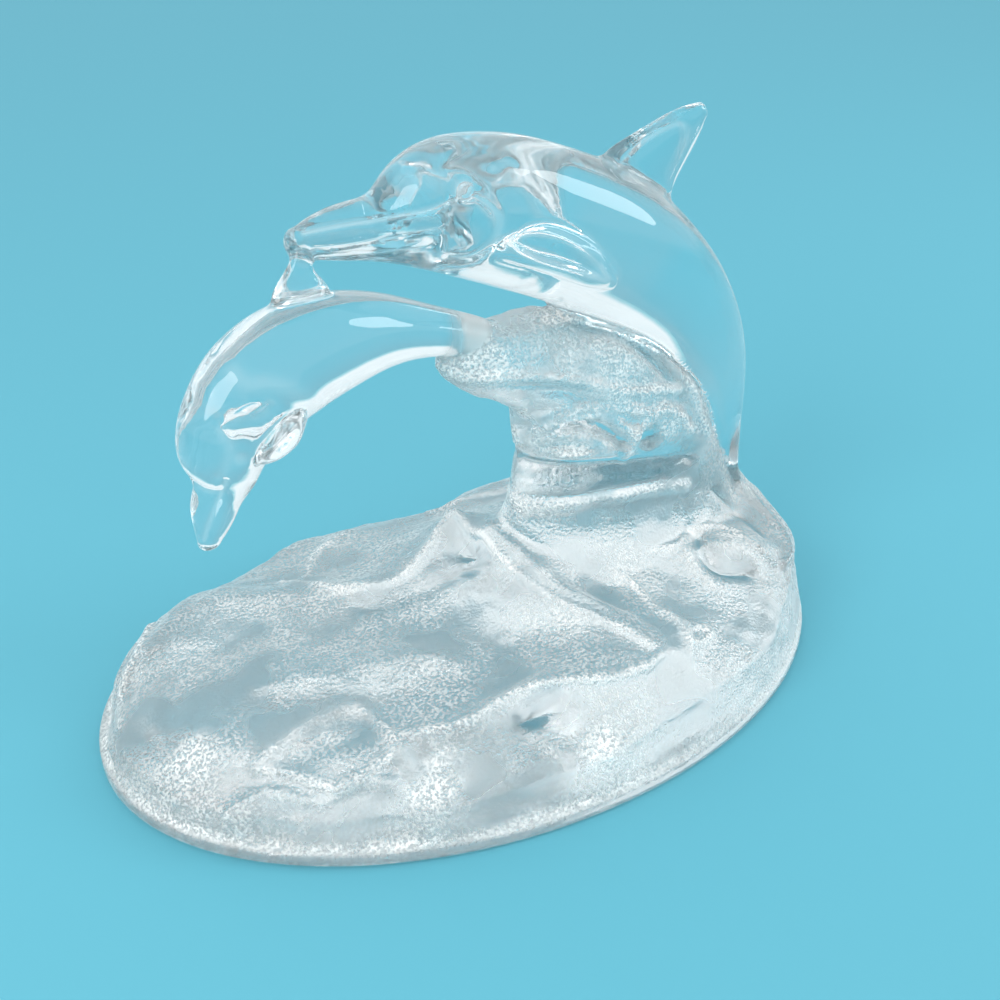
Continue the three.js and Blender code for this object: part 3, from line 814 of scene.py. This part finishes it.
@dataclass
class Base:
    """The oval slab of rough water with a plain band along its foot and a flat underside.

    A row of crests holds a depth, width, white crusting with a painted highlight, and clear, and then the x
    and y of the points of one line. A row of pools, which are laid from above, or of shells, which are
    pressed along the foot, is a bowl.
    """

    half_length: float = 90.0
    half_width: float = 61.0
    band_height: float = 2.6
    band_round: float = 0.8
    wall_lean: float = 3.4
    wall_tail_end: float = 16.0
    wall_head_end: float = 5.5
    wall_back_drop: float = 2.5
    swells: Sequence[Point] = (
        (80, 7.5, -7), (95, 9, -2.2), (107, 8, 2), (121, 8, -1.5), (144, 14, 4), (166, 7, -3.5),
    )
    swell_fade: float = 3.0
    water_rise: float = 13.0
    front_shoulder: float = 0.17
    back_shoulder: float = 0.4
    back_shoulder_at: float = 80.0
    back_shoulder_spread: float = 40.0
    middle_wall: float = 8.0
    ridge_merge: float = 4.0
    ridges: Sequence[Ridge] = (
        Ridge(((3, 13, 13), (7, -4, 11), (12, -20, 8), (20, -34, 7), (24, -46, 6)), 12, 12),
        Ridge(((3, 13, 13), (-8, 11, 9), (-16, 10, 7), (-26, 12, 6), (-36, 18, 5), (-54, 28, 5)), 12, 16),
        Ridge(((24, -46, 6), (12, -48, 7), (-6, -42, 8), (-26, -43, 6), (-44, -38, 4)), 8, 12),
        Ridge(((-50, 38, 2), (-62, 33, 6), (-72, 23, 7), (-79, 8, 6), (-78, -4, 6), (-66, -24, 5),
               (-48, -36, 4)), 12, 8),
        Ridge(((-66, -6, 3), (-44, -16, 6), (-20, -22, 5)), 14, 9),
        Ridge(((-2, 44, 3), (16, 42, 5.5), (36, 42, 3.5)), 8, 10),
        Ridge(((48, -22, 4), (62, -27, 8), (78, -26, 6)), 9, 9),
    )
    hollows: Sequence[tuple[float, float, float, float]] = (
        (26, -22, 4, 12), (-6, -28, 2, 14), (56, -44, 3, 14), (-34, 34, 3, 18),
    )
    crests: Sequence[LineRow] = (
        (-1, 0.9, 1, 0, (3, 15.9), (3.9, -5.3), (6.7, -15.8), (10.2, -24.5), (15, -32), (20.6, -43.8)),
        (-1, 1.2, 0.7, 0, (3, 15.9), (-9.4, 8.4), (-15.8, 6.7), (-20.7, 7.8), (-29.7, 11.8), (-34.2, 24.1),
         (-36.1, 31.8)),
        (-0.7, 0.9, 0.75, 0, (21.9, -46.6), (15.1, -48.2), (5.7, -47), (-2.4, -43.9), (-13.4, -40.8),
         (-22.5, -43.1), (-34.5, -39.5), (-38.7, -36.8)),
        (-1, 1.4, 0.7, 0, (-64.2, -27.9), (-58.7, -27.5), (-51, -24.8), (-42.9, -25.1), (-39.7, -28.7),
         (-38.6, -36.6), (-38.2, -44)),
        (-0.8, 1.2, 0.8, 0, (-64.6, -28.8), (-58.6, -33.4), (-53.7, -40), (-47.6, -41.2), (-40, -40.9)),
        (-0.8, 1.2, 0.5, 0, (-72.6, -31.4), (-63.8, -32.8), (-56.4, -41.4), (-48.9, -41), (-42.5, -44.5)),
        (-0.7, 1.2, 0.6, 0, (-84, 5), (-81.3, 17.4), (-74, 23.2), (-69.1, 33.5)),
        (-0.9, 1.1, 0.8, 0, (32, -16.3), (41, -18.2), (47.3, -19.5), (52.4, -16.6)),
        (-0.9, 1.2, 0.8, 0, (31, -16.5), (28.4, -18.5), (31.2, -23.3), (29, -33.7), (32, -37.3),
         (29.5, -46.7)),
        (-0.9, 1.1, 0.9, 0, (32.8, -40.1), (40.2, -42.9), (29.8, -46.3), (32.8, -40.1)),
        (-0.8, 1.3, 0.5, 0, (60, 20), (48, 30), (30, 34), (10, 44)),
        (-0.8, 1.3, 0.5, 0, (-10, 50), (-24, 42), (-30, 30)),
        (1, 3.2, 0, 0.3, (9, -2), (12, -12), (16, -21), (21, -28), (25, -36)),
        (0.8, 2.6, 0, 0.3, (-4, -1), (-12, 0), (-20, 0.5), (-27, 4)),
        (0.8, 2.6, 0, 0.3, (-6, -37), (-16, -36.5), (-26, -38)),
        (0.8, 2.4, 0, 0.3, (-56, -31), (-50, -32), (-44, -34)),
    )
    pools: Sequence[BowlRow] = (
        ((1, -1, 28), (5, 6, 9), 1.4, 0, 1),
        ((-10, -46.6, 20), (8, 3.2, 9), 1.4, 0, 1),
        ((-75, -18, 13), (8, 6, 9), 0, 0.5, 0),
        ((-52, -29, 18), (13, 6, 9), 0, 0.45, 0),
        ((-33, -48, 15), (9, 4.5, 9), 0.3, 0.9, 0),
        ((0.5, -55.5, 14.5), (5, 3.5, 9), 0.3, 0.9, 0),
        ((13, -24, 26), (7, 16, 9), 0, 0.4, 0),
        ((38, -12, 30), (16, 6, 9), 0, 0.5, 0),
    )
    shells: Sequence[BowlRow] = (
        ((-66, -38.5, 7), (7, 6, 5.5), 1.6, 0, 0.25),
        ((-46, -49, 8), (11, 6, 7), 1.4, 0, 0.25),
        ((-16, -58, 9), (20, 6, 8), 1.2, 0, 0.25),
        ((20, -57, 10), (14, 6, 8), 1.2, 0, 0.25),
    )
    # The rows of the underside, the lower round, the band, the upper round, the wall and the water.
    zones: Sequence[int] = (12, 4, 2, 4, 12, 96)
    around: int = 280

    def swell(self, turn: np.ndarray, at: float, spread: float) -> np.ndarray:
        """A smooth bump of height 1 round the oval at a number of degrees."""
        away = (np.degrees(turn) - at + 180.0) % 360.0 - 180.0
        return np.exp(-((away / spread) ** 2))

    def wall_height(self, turn: np.ndarray, share: np.ndarray) -> np.ndarray:
        """Height of the wall.

        Args:
            turn: turns round the oval in radians, 0 at the tail end.
            share: how far out each place is, 1 at the rim.

        Returns:
            The heights in millimetres.
        """
        towards_tail = (1.0 + np.cos(turn)) / 2.0
        towards_back = np.maximum(0.0, np.sin(turn))
        wall = self.wall_head_end + (self.wall_tail_end - self.wall_head_end) * towards_tail**2
        wall = wall - self.wall_back_drop * towards_back * (1.0 - towards_tail)
        for at, spread, rise in self.swells:
            wall = wall + rise * share**self.swell_fade * self.swell(turn, at, spread)
        return wall

    def water_height(self, x: np.ndarray, y: np.ndarray) -> np.ndarray:
        """Height of the water.

        Args:
            x: the places along the base, in millimetres.
            y: the places across it.

        Returns:
            The height over each place, in millimetres.
        """
        share = np.hypot(x / self.half_length, y / self.half_width)
        turn = np.arctan2(y / self.half_width, x / self.half_length)
        inward = np.clip(1.0 - share, 0.0, 1.0)
        back = self.swell(turn, self.back_shoulder_at, self.back_shoulder_spread)
        steepness = self.front_shoulder + (self.back_shoulder - self.front_shoulder) * back
        shoulder = 1.0 - np.exp(-inward / steepness)
        settled = 1.0 - np.exp(-share / self.front_shoulder)
        wall = self.middle_wall + (self.wall_height(turn, share) - self.middle_wall) * settled
        crests = sum(ridge.rise(x, y) ** self.ridge_merge for ridge in self.ridges)
        carved = crests ** (1.0 / self.ridge_merge)
        for middle_x, middle_y, depth, radius in self.hollows:
            carved = carved - depth * np.exp(-(((x - middle_x) ** 2 + (y - middle_y) ** 2) / radius**2))
        return wall + shoulder * (self.water_rise + carved)

    def skin(self, row: np.ndarray, turn: np.ndarray) -> np.ndarray:
        """The surface of the slab: water, wall, band and underside.

        Args:
            row: row numbers from the middle of the water.
            turn: turns round the oval, in radians.

        Returns:
            The points in millimetres, one a row.
        """
        left = sum(self.zones) - row
        passed = []
        for count in self.zones:
            passed.append(np.clip(left / count, 0.0, 1.0))
            left = left - count
        under, low, band, high, wall, over = passed
        low, high = low * math.pi / 2.0, high * math.pi / 2.0
        lean, rise = self.wall_lean - self.band_round, self.band_height - self.band_round
        inset = self.band_round * (2.0 - np.sin(low) - np.cos(high)) + lean * wall
        level = self.band_round * (1.0 - np.cos(low) + np.sin(high)) + rise * band
        x = (self.half_length - inset) * (under - over) * np.cos(turn)
        y = (self.half_width - inset) * (under - over) * np.sin(turn)
        z = level + (self.water_height(x, y) - level) * wall
        return np.stack([x, y, z], axis=1)

    def build(self) -> list[Part]:
        """Makes the slab as one closed mesh."""
        LOG.info("base: 1 part")
        return [Part(wrapped_sphere("base", sum(self.zones), self.around, self.skin), Finish.FROSTED, "base")]

    def marks(self) -> list[Mark]:
        """The sharp crests and troughs, the pools and grained patches, and the shells along the foot."""
        shared = {"both_sides": False, "on": "base", "fine": False}
        return [
            *creases(self.crests, lambda x, y: (x, y, 0.0), lay=Lay.ABOVE, **shared),
            *bowls(self.pools, lay=Lay.ABOVE, **shared),
            *bowls(self.shells, **shared),
        ]


@dataclass
class Casting:
    """The whole figurine, fused from its parts into one closed skin of glass.

    Levels are heights above the floor between which something fades in, in millimetres.
    """

    marks: Sequence[Mark]
    base: Base
    voxel: float = 0.87
    foot_cut: float = 0.45
    foot_margin: float = 0.05
    chamfer_share: float = 0.992
    ring_share: float = 0.96
    ring_margin: float = 0.01
    join_near: float = 0.4
    join_far: float = 2.0
    join_passes: int = 12
    join_factor: float = 0.6
    least_weight: float = 0.01
    search: float = 7.0
    out_of_reach: float = 99.0
    owner_reach: Span = (3.0, 0.6)
    far_share: float = 0.25
    frost_edge: float = 0.8
    band_frost: float = 0.1
    frost_levels: Span = (2.6, 4.2)
    mark_levels: Span = (0.8, 2.6)
    ripple_levels: Span = (3.4, 7.0)
    # A painted highlight line round the foot just above the band: its height, spread and strength.
    painted_foot_highlight: tuple[float, float, float] = (3.9, 0.8, 0.8)
    ripples: Sequence[Ripple] = (
        Ripple(17.0, 0.9, 3), Ripple(8.0, 0.5, 5), Ripple(3.6, 0.3, 8), Ripple(2.2, 0.12, 11),
    )
    piece: bpy.types.Object = None
    frost: np.ndarray = None
    # How strong the white crusting and painted highlights are at each vertex.
    crust_and_highlight: np.ndarray = None
    away: dict[str, np.ndarray] = field(default_factory=dict)

    def fuse(self, parts: Sequence[Part]) -> None:
        """Joins the parts into one skin, lays it back on their smooth surfaces and rounds the joins.

        Args:
            parts: every closed part.
        """
        graph = bpy.context.evaluated_depsgraph_get()
        solids = [(BVHTree.FromObject(part.shape, graph), points_of(part.shape.data)) for part in parts]
        polished = np.array([part.finish is Finish.POLISHED for part in parts])
        owners = np.array([part.owner for part in parts])
        self.remesh(parts)
        self.cut_foot()
        self.refine()
        points = points_of(self.piece.data)
        found = [self.nearest_on(tree, solid, points) for tree, solid in solids]
        away = np.stack([distance for _, distance in found])
        target = np.stack([place for place, _ in found])[away.argmin(axis=0), np.arange(len(points))]
        self.away = {str(owner): away[owners == owner].min(axis=0) for owner in np.unique(owners)}
        nearest, second = np.sort(away, axis=0)[:2]
        apart = smoothstep(self.join_near, self.join_far, second - nearest)
        clear = np.where(np.isfinite(nearest), apart, 0.0)
        foot = points[:, 2] < self.foot_cut + self.foot_margin
        clear[foot] = 1.0
        target[foot, 2] = points[foot, 2]
        put_points(self.piece.data, self.true_foot(points + (target - points) * clear[:, None]))
        smooth, rough = (
            np.minimum(away[chosen].min(axis=0), self.out_of_reach) for chosen in (polished, ~polished)
        )
        self.frost = smoothstep(-self.frost_edge, self.frost_edge, smooth - rough)
        self.frost *= self.band_frost + (1.0 - self.band_frost) * smoothstep(*self.frost_levels, points[:, 2])
        self.round_joins(1.0 - clear)

    def remesh(self, parts: Sequence[Part]) -> None:
        """Joins the parts into one object with one even skin round them all.

        Args:
            parts: every closed part.
        """
        deselect()
        for part in parts:
            part.shape.select_set(True)
        bpy.context.view_layer.objects.active = parts[0].shape
        bpy.ops.object.join()
        self.piece = bpy.context.object
        self.piece.name = self.piece.data.name = "glass_dolphins"
        self.piece.data.remesh_voxel_size = self.voxel * MM
        self.piece.data.remesh_voxel_adaptivity = 0.0
        bpy.ops.object.voxel_remesh()

    def nearest_on(
        self, tree: BVHTree, solid: np.ndarray, points: np.ndarray
    ) -> tuple[np.ndarray, np.ndarray]:
        """The nearest place on one part for each point that is close to it.

        Args:
            tree: the part's faces.
            solid: the part's own points, in millimetres.
            points: the points of the skin, in millimetres.

        Returns:
            The places, and how far away they are, which is infinite where the part is out of reach.
        """
        place = points.copy()
        away = np.full(len(points), np.inf)
        low, high = solid.min(axis=0) - self.search, solid.max(axis=0) + self.search
        close = np.all((points > low) & (points < high), axis=1)
        for index in np.nonzero(close)[0].tolist():
            found = tree.find_nearest(points[index] * MM, self.search * MM)
            if found[0] is not None:
                place[index] = found[0]
                place[index] /= MM
                away[index] = found[3] / MM
        return place, away

    def cut_foot(self) -> None:
        """Cuts the rough underside off and closes it by one flat face, with a chamfer and a narrow ring."""
        make_active(self.piece)
        bpy.ops.object.mode_set(mode="EDIT")
        bpy.ops.mesh.select_mode(type="FACE")
        bpy.ops.mesh.select_all(action="SELECT")
        level = self.foot_cut * MM
        bpy.ops.mesh.bisect(plane_co=(0, 0, level), plane_no=(0, 0, -1), use_fill=True, clear_outer=True)
        for drop, share in ((level, self.chamfer_share), (0.0, self.ring_share)):
            bpy.ops.mesh.extrude_region_move(TRANSFORM_OT_translate={"value": (0, 0, -drop)})
            bpy.ops.transform.resize(value=(share, share, 1.0), center_override=(0, 0, 0))
        bpy.ops.object.mode_set(mode="OBJECT")

    def true_foot(self, points: np.ndarray) -> np.ndarray:
        """Lays the foot on the rounded oval of the base.

        Args:
            points: the points of the skin, in millimetres.

        Returns:
            The points, with those of the foot moved.
        """
        base = self.base
        share = np.hypot(points[:, 0] / base.half_length, points[:, 1] / base.half_width)
        outer = share > self.ring_share + self.ring_margin
        foot = outer & (points[:, 2] < self.foot_cut + self.foot_margin)
        level = np.clip(1.0 - points[:, 2] / base.band_round, 0.0, 1.0)
        inset = base.band_round * (1.0 - np.sqrt(1.0 - level**2))
        turn = np.arctan2(points[:, 1] / base.half_width, points[:, 0] / base.half_length)
        placed = points.copy()
        placed[foot, 0] = ((base.half_length - inset) * np.cos(turn))[foot]
        placed[foot, 1] = ((base.half_width - inset) * np.sin(turn))[foot]
        return placed

    def refine(self) -> None:
        """Gives the skin more faces along its fine lines."""
        middles = vectors(self.piece.data.polygons, "center") / MM
        chosen = np.zeros(len(middles), dtype=bool)
        for mark in self.marks:
            if mark.fine:
                chosen |= mark.near(self.seen(mark, middles))
        choose_faces(self.piece, chosen)
        bpy.ops.mesh.subdivide(number_cuts=1)
        bpy.ops.object.mode_set(mode="OBJECT")

    def seen(self, mark: Mark, points: np.ndarray) -> np.ndarray:
        """The points as a mark sees them.

        Args:
            mark: the mark.
            points: the points in millimetres.

        Returns:
            The points, those of the far side mirrored to the near side if the mark is on both.
        """
        looked = points.copy()
        if mark.both_sides:
            looked[:, 1] = mark.plane - np.abs(looked[:, 1] - mark.plane)
        return looked

    def round_joins(self, weight: np.ndarray) -> None:
        """Smooths the skin where parts meet.

        Args:
            weight: how strongly each vertex is smoothed.
        """
        group = self.piece.vertex_groups.new(name="joins")
        for index in np.nonzero(weight > self.least_weight)[0].tolist():
            group.add([index], float(weight[index]), "REPLACE")
        make_active(self.piece)
        bpy.ops.object.modifier_add(type="SMOOTH")
        smooth = self.piece.modifiers[-1]
        smooth.factor = self.join_factor
        smooth.iterations = self.join_passes
        smooth.vertex_group = group.name
        bpy.ops.object.modifier_apply(modifier=smooth.name)

    def carve(self) -> None:
        """Presses the marks into the glass and ripples the rough water, but leaves the foot as it is."""
        points = points_of(self.piece.data)
        level = points[:, 2]
        sink = np.zeros(len(points))
        # Paints a highlight line round the foot just above the band.
        height, spread, strength = self.painted_foot_highlight
        self.crust_and_highlight = strength * np.exp(-(((level - height) / spread) ** 2))
        for mark in self.marks:
            seen = self.seen(mark, points)
            held = smoothstep(*self.owner_reach, self.away[mark.on]) if mark.on else 1.0
            far = (points[:, 1] > mark.plane) & mark.both_sides
            sink += mark.sink(seen) * held * np.where(far, self.far_share, 1.0)
            if mark.clear:
                self.frost = self.frost * (1.0 - mark.clear * mark.form(seen) * held)
            # The marks add white crusting and painted highlights along lines, round sockets and over bowls.
            if mark.crust_and_highlight:
                self.crust_and_highlight = np.maximum(self.crust_and_highlight, mark.crust_and_highlight * mark.form(seen) * held)
        uneven = sum(ripple.rise(points) for ripple in self.ripples) * self.frost
        lift = uneven * smoothstep(*self.ripple_levels, level) - sink * smoothstep(*self.mark_levels, level)
        points += vectors(self.piece.data.vertex_normals, "vector") * lift[:, None]
        points[:, 2] = np.maximum(points[:, 2], 0.0)
        put_points(self.piece.data, points)

    def finish_mesh(self) -> None:
        """Stores where the glass is frosted and where it carries white crusting and painted highlights, and
        shades the skin smooth.
        """
        mesh = self.piece.data
        for name, values in (("frost", self.frost), ("crust_and_highlight", self.crust_and_highlight)):
            layer = mesh.attributes.new(name=name, type="FLOAT", domain="POINT")
            layer.data.foreach_set("value", values)
        make_active(self.piece)
        bpy.ops.object.shade_smooth_by_angle(angle=math.radians(60.0))
        LOG.info("glass: %d triangles", sum(len(face.vertices) - 2 for face in mesh.polygons))


class Value:
    """A socket of a shader that takes part in Python maths."""

    def __init__(self, tree: bpy.types.NodeTree, socket: bpy.types.NodeSocket) -> None:
        """Keeps the tree and the socket."""
        self.tree = tree
        self.socket = socket

    def maths(self, operation: str, *others: "Value | float") -> "Value":
        """A Math node of this value and others."""
        inputs = dict(enumerate([self, *others]))
        return add_node(self.tree, "ShaderNodeMath", {"operation": operation}, inputs)

    def __add__(self, other: "Value | float") -> "Value":
        """The sum."""
        return self.maths("ADD", other)

    def __mul__(self, other: "Value | float") -> "Value":
        """The product."""
        return self.maths("MULTIPLY", other)

    def __sub__(self, other: "Value | float") -> "Value":
        """The difference."""
        return self.maths("SUBTRACT", other)

    def __rsub__(self, other: float) -> "Value":
        """A number less this value."""
        return add_node(self.tree, "ShaderNodeMath", {"operation": "SUBTRACT"}, {0: other, 1: self})

    __radd__ = __add__
    __rmul__ = __mul__


def node_of(tree: bpy.types.NodeTree, kind: str) -> bpy.types.Node:
    """The node of a kind that a new tree starts with."""
    return next(node for node in tree.nodes if node.type == kind)


def fill(node: bpy.types.Node, inputs: dict) -> None:
    """Gives the sockets of a node their values or links.

    Args:
        node: the node.
        inputs: the values, or the sockets to link, by the socket's name or number.
    """
    for key, value in inputs.items():
        if isinstance(value, Value):
            value.tree.links.new(value.socket, node.inputs[key])
        else:
            node.inputs[key].default_value = value


def add_node(
    tree: bpy.types.NodeTree, kind: str, settings: dict, inputs: dict, output: int | str = 0
) -> Value:
    """Adds one node.

    Args:
        tree: the tree of the material or the world.
        kind: the node's type.
        settings: properties set first; "stops" gives the two stops of a ramp.
        inputs: values or links of its sockets, by name or number.
        output: the output socket to return.

    Returns:
        The output as a value.
    """
    node = tree.nodes.new(kind)
    for key, value in settings.items():
        if key == "stops":
            for stop, (position, colour) in zip(node.color_ramp.elements, value):
                stop.position, stop.color = position, colour
        else:
            setattr(node, key, value)
    fill(node, inputs)
    return Value(tree, node.outputs[output])


@dataclass(frozen=True)
class MouldedGlass:
    """Clear glass that is fire-polished on the dolphins and frosted, with a fine stipple, on the water.

    A white layer lies over it: a haze and grains on the frosted glass, white crusting with a painted
    highlight on the crests and lines, and a painted rim highlight where the surface turns away. Edges are
    values of a pattern between which it fades in.
    """

    ior: float = 1.5
    clear_tint: Colour = (0.985, 0.996, 1.0, 1.0)
    frost_tint: Colour = (0.965, 0.985, 0.99, 1.0)
    # The white layer's colour, for the haze, grains and crusting and for the painted highlights.
    bloom_and_highlight_tint: Colour = (0.97, 0.95, 0.93, 1.0)
    bloom_rough: float = 0.5
    haze: float = 0.14
    grain_bloom: float = 0.34
    crust_and_highlight_white: float = 0.85
    crust_and_highlight_grain: float = 0.8
    crust_and_highlight_break: float = 0.65
    polished: float = 0.015
    frosted: float = 0.27
    patch_shine: float = 0.08
    # The painted rim highlight where the surface turns from the view: its strength and sharpness.
    painted_rim_highlight: float = 0.32
    painted_rim_power: float = 4.0
    patch_size: float = 17.0
    patch_edges: Span = (0.40, 0.62)
    grain_edges: Span = (0.42, 0.62)
    break_size: float = 6.0
    break_edges: Span = (0.36, 0.60)
    stipple_size: float = 0.7
    stipple_depth: float = 0.4
    stipple_least: float = 0.35

    def dress(self, piece: bpy.types.Object) -> None:
        """Gives the glass to a piece.

        Args:
            piece: the object, which stores how frosted it is and how strong its white crusting and painted
                highlights are at each vertex.
        """
        material = bpy.data.materials.new("moulded_glass")
        material.use_nodes = True
        tree = material.node_tree
        clear = node_of(tree, "BSDF_PRINCIPLED")
        place = add_node(tree, "ShaderNodeTexCoord", {}, {}, "Object")
        frost, crust_and_highlight = (
            add_node(tree, "ShaderNodeAttribute", {"attribute_name": name}, {}, "Fac")
            for name in ("frost", "crust_and_highlight")
        )
        patches = self.fade(tree, self.noise(tree, place, self.patch_size, 2.0), self.patch_edges)
        breaks = self.fade(tree, self.noise(tree, place, self.break_size, 1.0), self.break_edges)
        stipple = self.noise(tree, place, self.stipple_size, 1.0)
        grains = self.fade(tree, stipple, self.grain_edges)
        tints = {0: frost, 6: self.clear_tint, 7: self.frost_tint}
        tint = add_node(tree, "ShaderNodeMix", {"data_type": "RGBA"}, tints, 2)
        rough = self.polished + frost * (self.frosted - patches * self.patch_shine)
        grained = 1.0 - frost * (1.0 - grains) * self.crust_and_highlight_grain
        broken = 1.0 - frost * (1.0 - breaks) * self.crust_and_highlight_break
        # The facing term paints a highlight on the rim where the surface turns away from the view.
        slope = add_node(tree, "ShaderNodeLayerWeight", {}, {"Blend": 0.5}, "Facing")
        # The white layer: haze and grains on frosted glass, white crusting and painted highlights along the
        # marks and the foot, and the painted rim highlight.
        bloom_and_highlight = frost * (self.haze + patches * grains * self.grain_bloom)
        bloom_and_highlight += crust_and_highlight * grained * broken * self.crust_and_highlight_white
        bloom_and_highlight += slope.maths("POWER", self.painted_rim_power) * self.painted_rim_highlight
        height = stipple * frost * (self.stipple_least + patches * (1.0 - self.stipple_least) + crust_and_highlight)
        relief = {"Strength": 1.0, "Distance": self.stipple_depth * MM, "Height": height}
        bump = add_node(tree, "ShaderNodeBump", {}, relief, "Normal")
        fill(clear, {"Transmission Weight": 1.0, "IOR": self.ior})
        fill(clear, {"Base Color": tint, "Roughness": rough, "Normal": bump})
        coat = {"Base Color": self.bloom_and_highlight_tint, "Roughness": self.bloom_rough, "Normal": bump}
        white = add_node(tree, "ShaderNodeBsdfPrincipled", {}, coat, "BSDF")
        layers = {0: bloom_and_highlight, 1: Value(tree, clear.outputs["BSDF"]), 2: white}
        fill(node_of(tree, "OUTPUT_MATERIAL"), {"Surface": add_node(tree, "ShaderNodeMixShader", {}, layers)})
        piece.data.materials.clear()
        piece.data.materials.append(material)

    def fade(self, tree: bpy.types.NodeTree, value: Value, edges: Span) -> Value:
        """A value that runs from 0 at the first edge to 1 at the second."""
        stops = ((edges[0], (0.0, 0.0, 0.0, 1.0)), (edges[1], (1.0, 1.0, 1.0, 1.0)))
        return add_node(tree, "ShaderNodeValToRGB", {"stops": stops}, {0: value})

    def noise(self, tree: bpy.types.NodeTree, place: Value, size: float, detail: float) -> Value:
        """A noise pattern whose spots are size millimetres across."""
        pattern = {"Vector": place, "Scale": 1.0 / (size * MM), "Detail": detail}
        return add_node(tree, "ShaderNodeTexNoise", {}, pattern)


@dataclass(frozen=True)
class SoftBox:
    """One round soft light that points at the figurine, with its power in watts."""

    name: str
    place: Point
    size: Span
    power: float
    colour: Point
    aim: Point = (0.0, 0.0, 60.0)

    def build(self) -> None:
        """Adds the light."""
        light = bpy.data.lights.new(self.name, "AREA")
        light.shape = "ELLIPSE"
        light.size, light.size_y = (side * MM for side in self.size)
        light.energy = self.power
        light.color = self.colour
        holder = bpy.data.objects.new(self.name, light)
        bpy.context.scene.collection.objects.link(holder)
        holder.location = Vector(self.place) * MM
        holder.rotation_euler = (Vector(self.aim) - Vector(self.place)).to_track_quat("-Z", "Y").to_euler()


@dataclass(frozen=True)
class Studio:
    """A plain pale floor, soft boxes and the camera at the photograph's viewing angle."""

    camera_place: Point = (-117.56, -224.11, 200.0)
    camera_turn: Span = (58.4, -29.2)
    camera_angle: float = 42.0
    bounces: int = 16
    floor_radius: float = 6000.0
    floor_gap: float = 0.2
    floor_colour: Colour = (0.11, 0.43, 0.54, 1.0)
    floor_rough: float = 0.7
    air_bands: Sequence[tuple[float, Colour]] = (
        (0.0, (0.24, 0.54, 0.62, 1.0)), (0.05, (0.74, 0.83, 0.86, 1.0)),
    )
    air_strength: float = 1.2
    boxes: Sequence[SoftBox] = (
        SoftBox("key", (-620.0, -260.0, 480.0), (460.0, 460.0), 3.0, (1.0, 0.88, 0.84)),
        SoftBox("side", (620.0, -260.0, 420.0), (240.0, 420.0), 1.4, (1.0, 0.95, 0.93)),
    )

    def build(self) -> None:
        """Makes the floor, the air, the lights and the camera."""
        self.floor()
        self.air()
        for box in self.boxes:
            box.build()
        self.camera()
        scene = bpy.context.scene
        scene.view_settings.view_transform = "Standard"
        scene.cycles.max_bounces = self.bounces
        scene.cycles.transmission_bounces = self.bounces
        scene.cycles.glossy_bounces = self.bounces

    def floor(self) -> None:
        """A wide plain floor just under the glass."""
        deselect()
        place = (0.0, 0.0, -self.floor_gap * MM)
        radius = self.floor_radius * MM
        bpy.ops.mesh.primitive_circle_add(vertices=96, radius=radius, fill_type="NGON", location=place)
        floor = bpy.context.object
        floor.name = "floor"
        bpy.ops.object.transform_apply(location=True, rotation=True, scale=True)
        material = bpy.data.materials.new("pale_floor")
        material.use_nodes = True
        shader = node_of(material.node_tree, "BSDF_PRINCIPLED")
        fill(shader, {"Base Color": self.floor_colour, "Roughness": self.floor_rough})
        floor.data.materials.append(material)

    def air(self) -> None:
        """A pale light from all round, bluer from below."""
        world = bpy.data.worlds.new("pale_air")
        bpy.context.scene.world = world
        world.use_nodes = True
        tree = world.node_tree
        way = add_node(tree, "ShaderNodeTexCoord", {}, {}, "Generated")
        height = add_node(tree, "ShaderNodeSeparateXYZ", {}, {0: way}, "Z")
        colour = add_node(tree, "ShaderNodeValToRGB", {"stops": self.air_bands}, {0: height})
        fill(node_of(tree, "BACKGROUND"), {"Color": colour, "Strength": self.air_strength})

    def camera(self) -> None:
        """The camera of the photograph."""
        lens = bpy.data.cameras.new("camera")
        lens.angle = math.radians(self.camera_angle)
        holder = bpy.data.objects.new("camera", lens)
        bpy.context.scene.collection.objects.link(holder)
        holder.location = Vector(self.camera_place) * MM
        holder.rotation_euler = (math.radians(self.camera_turn[0]), 0.0, math.radians(self.camera_turn[1]))
        bpy.context.scene.camera = holder


def main() -> None:
    """Builds the figurine and the studio, in order."""
    logging.basicConfig(level=logging.INFO, format="%(name)s %(message)s")
    base = Base()
    groups = (BigDolphin(), LittleDolphin(), WaveColumn(), base)
    parts = [part for group in groups for part in group.build()]
    casting = Casting(marks=[mark for group in groups for mark in group.marks()], base=base)
    casting.fuse(parts)
    casting.carve()
    casting.finish_mesh()
    MouldedGlass().dress(casting.piece)
    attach(casting.piece, "root")
    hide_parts("dolphin_figurine")
    Studio().build()


if __name__ == "__main__":
    main()
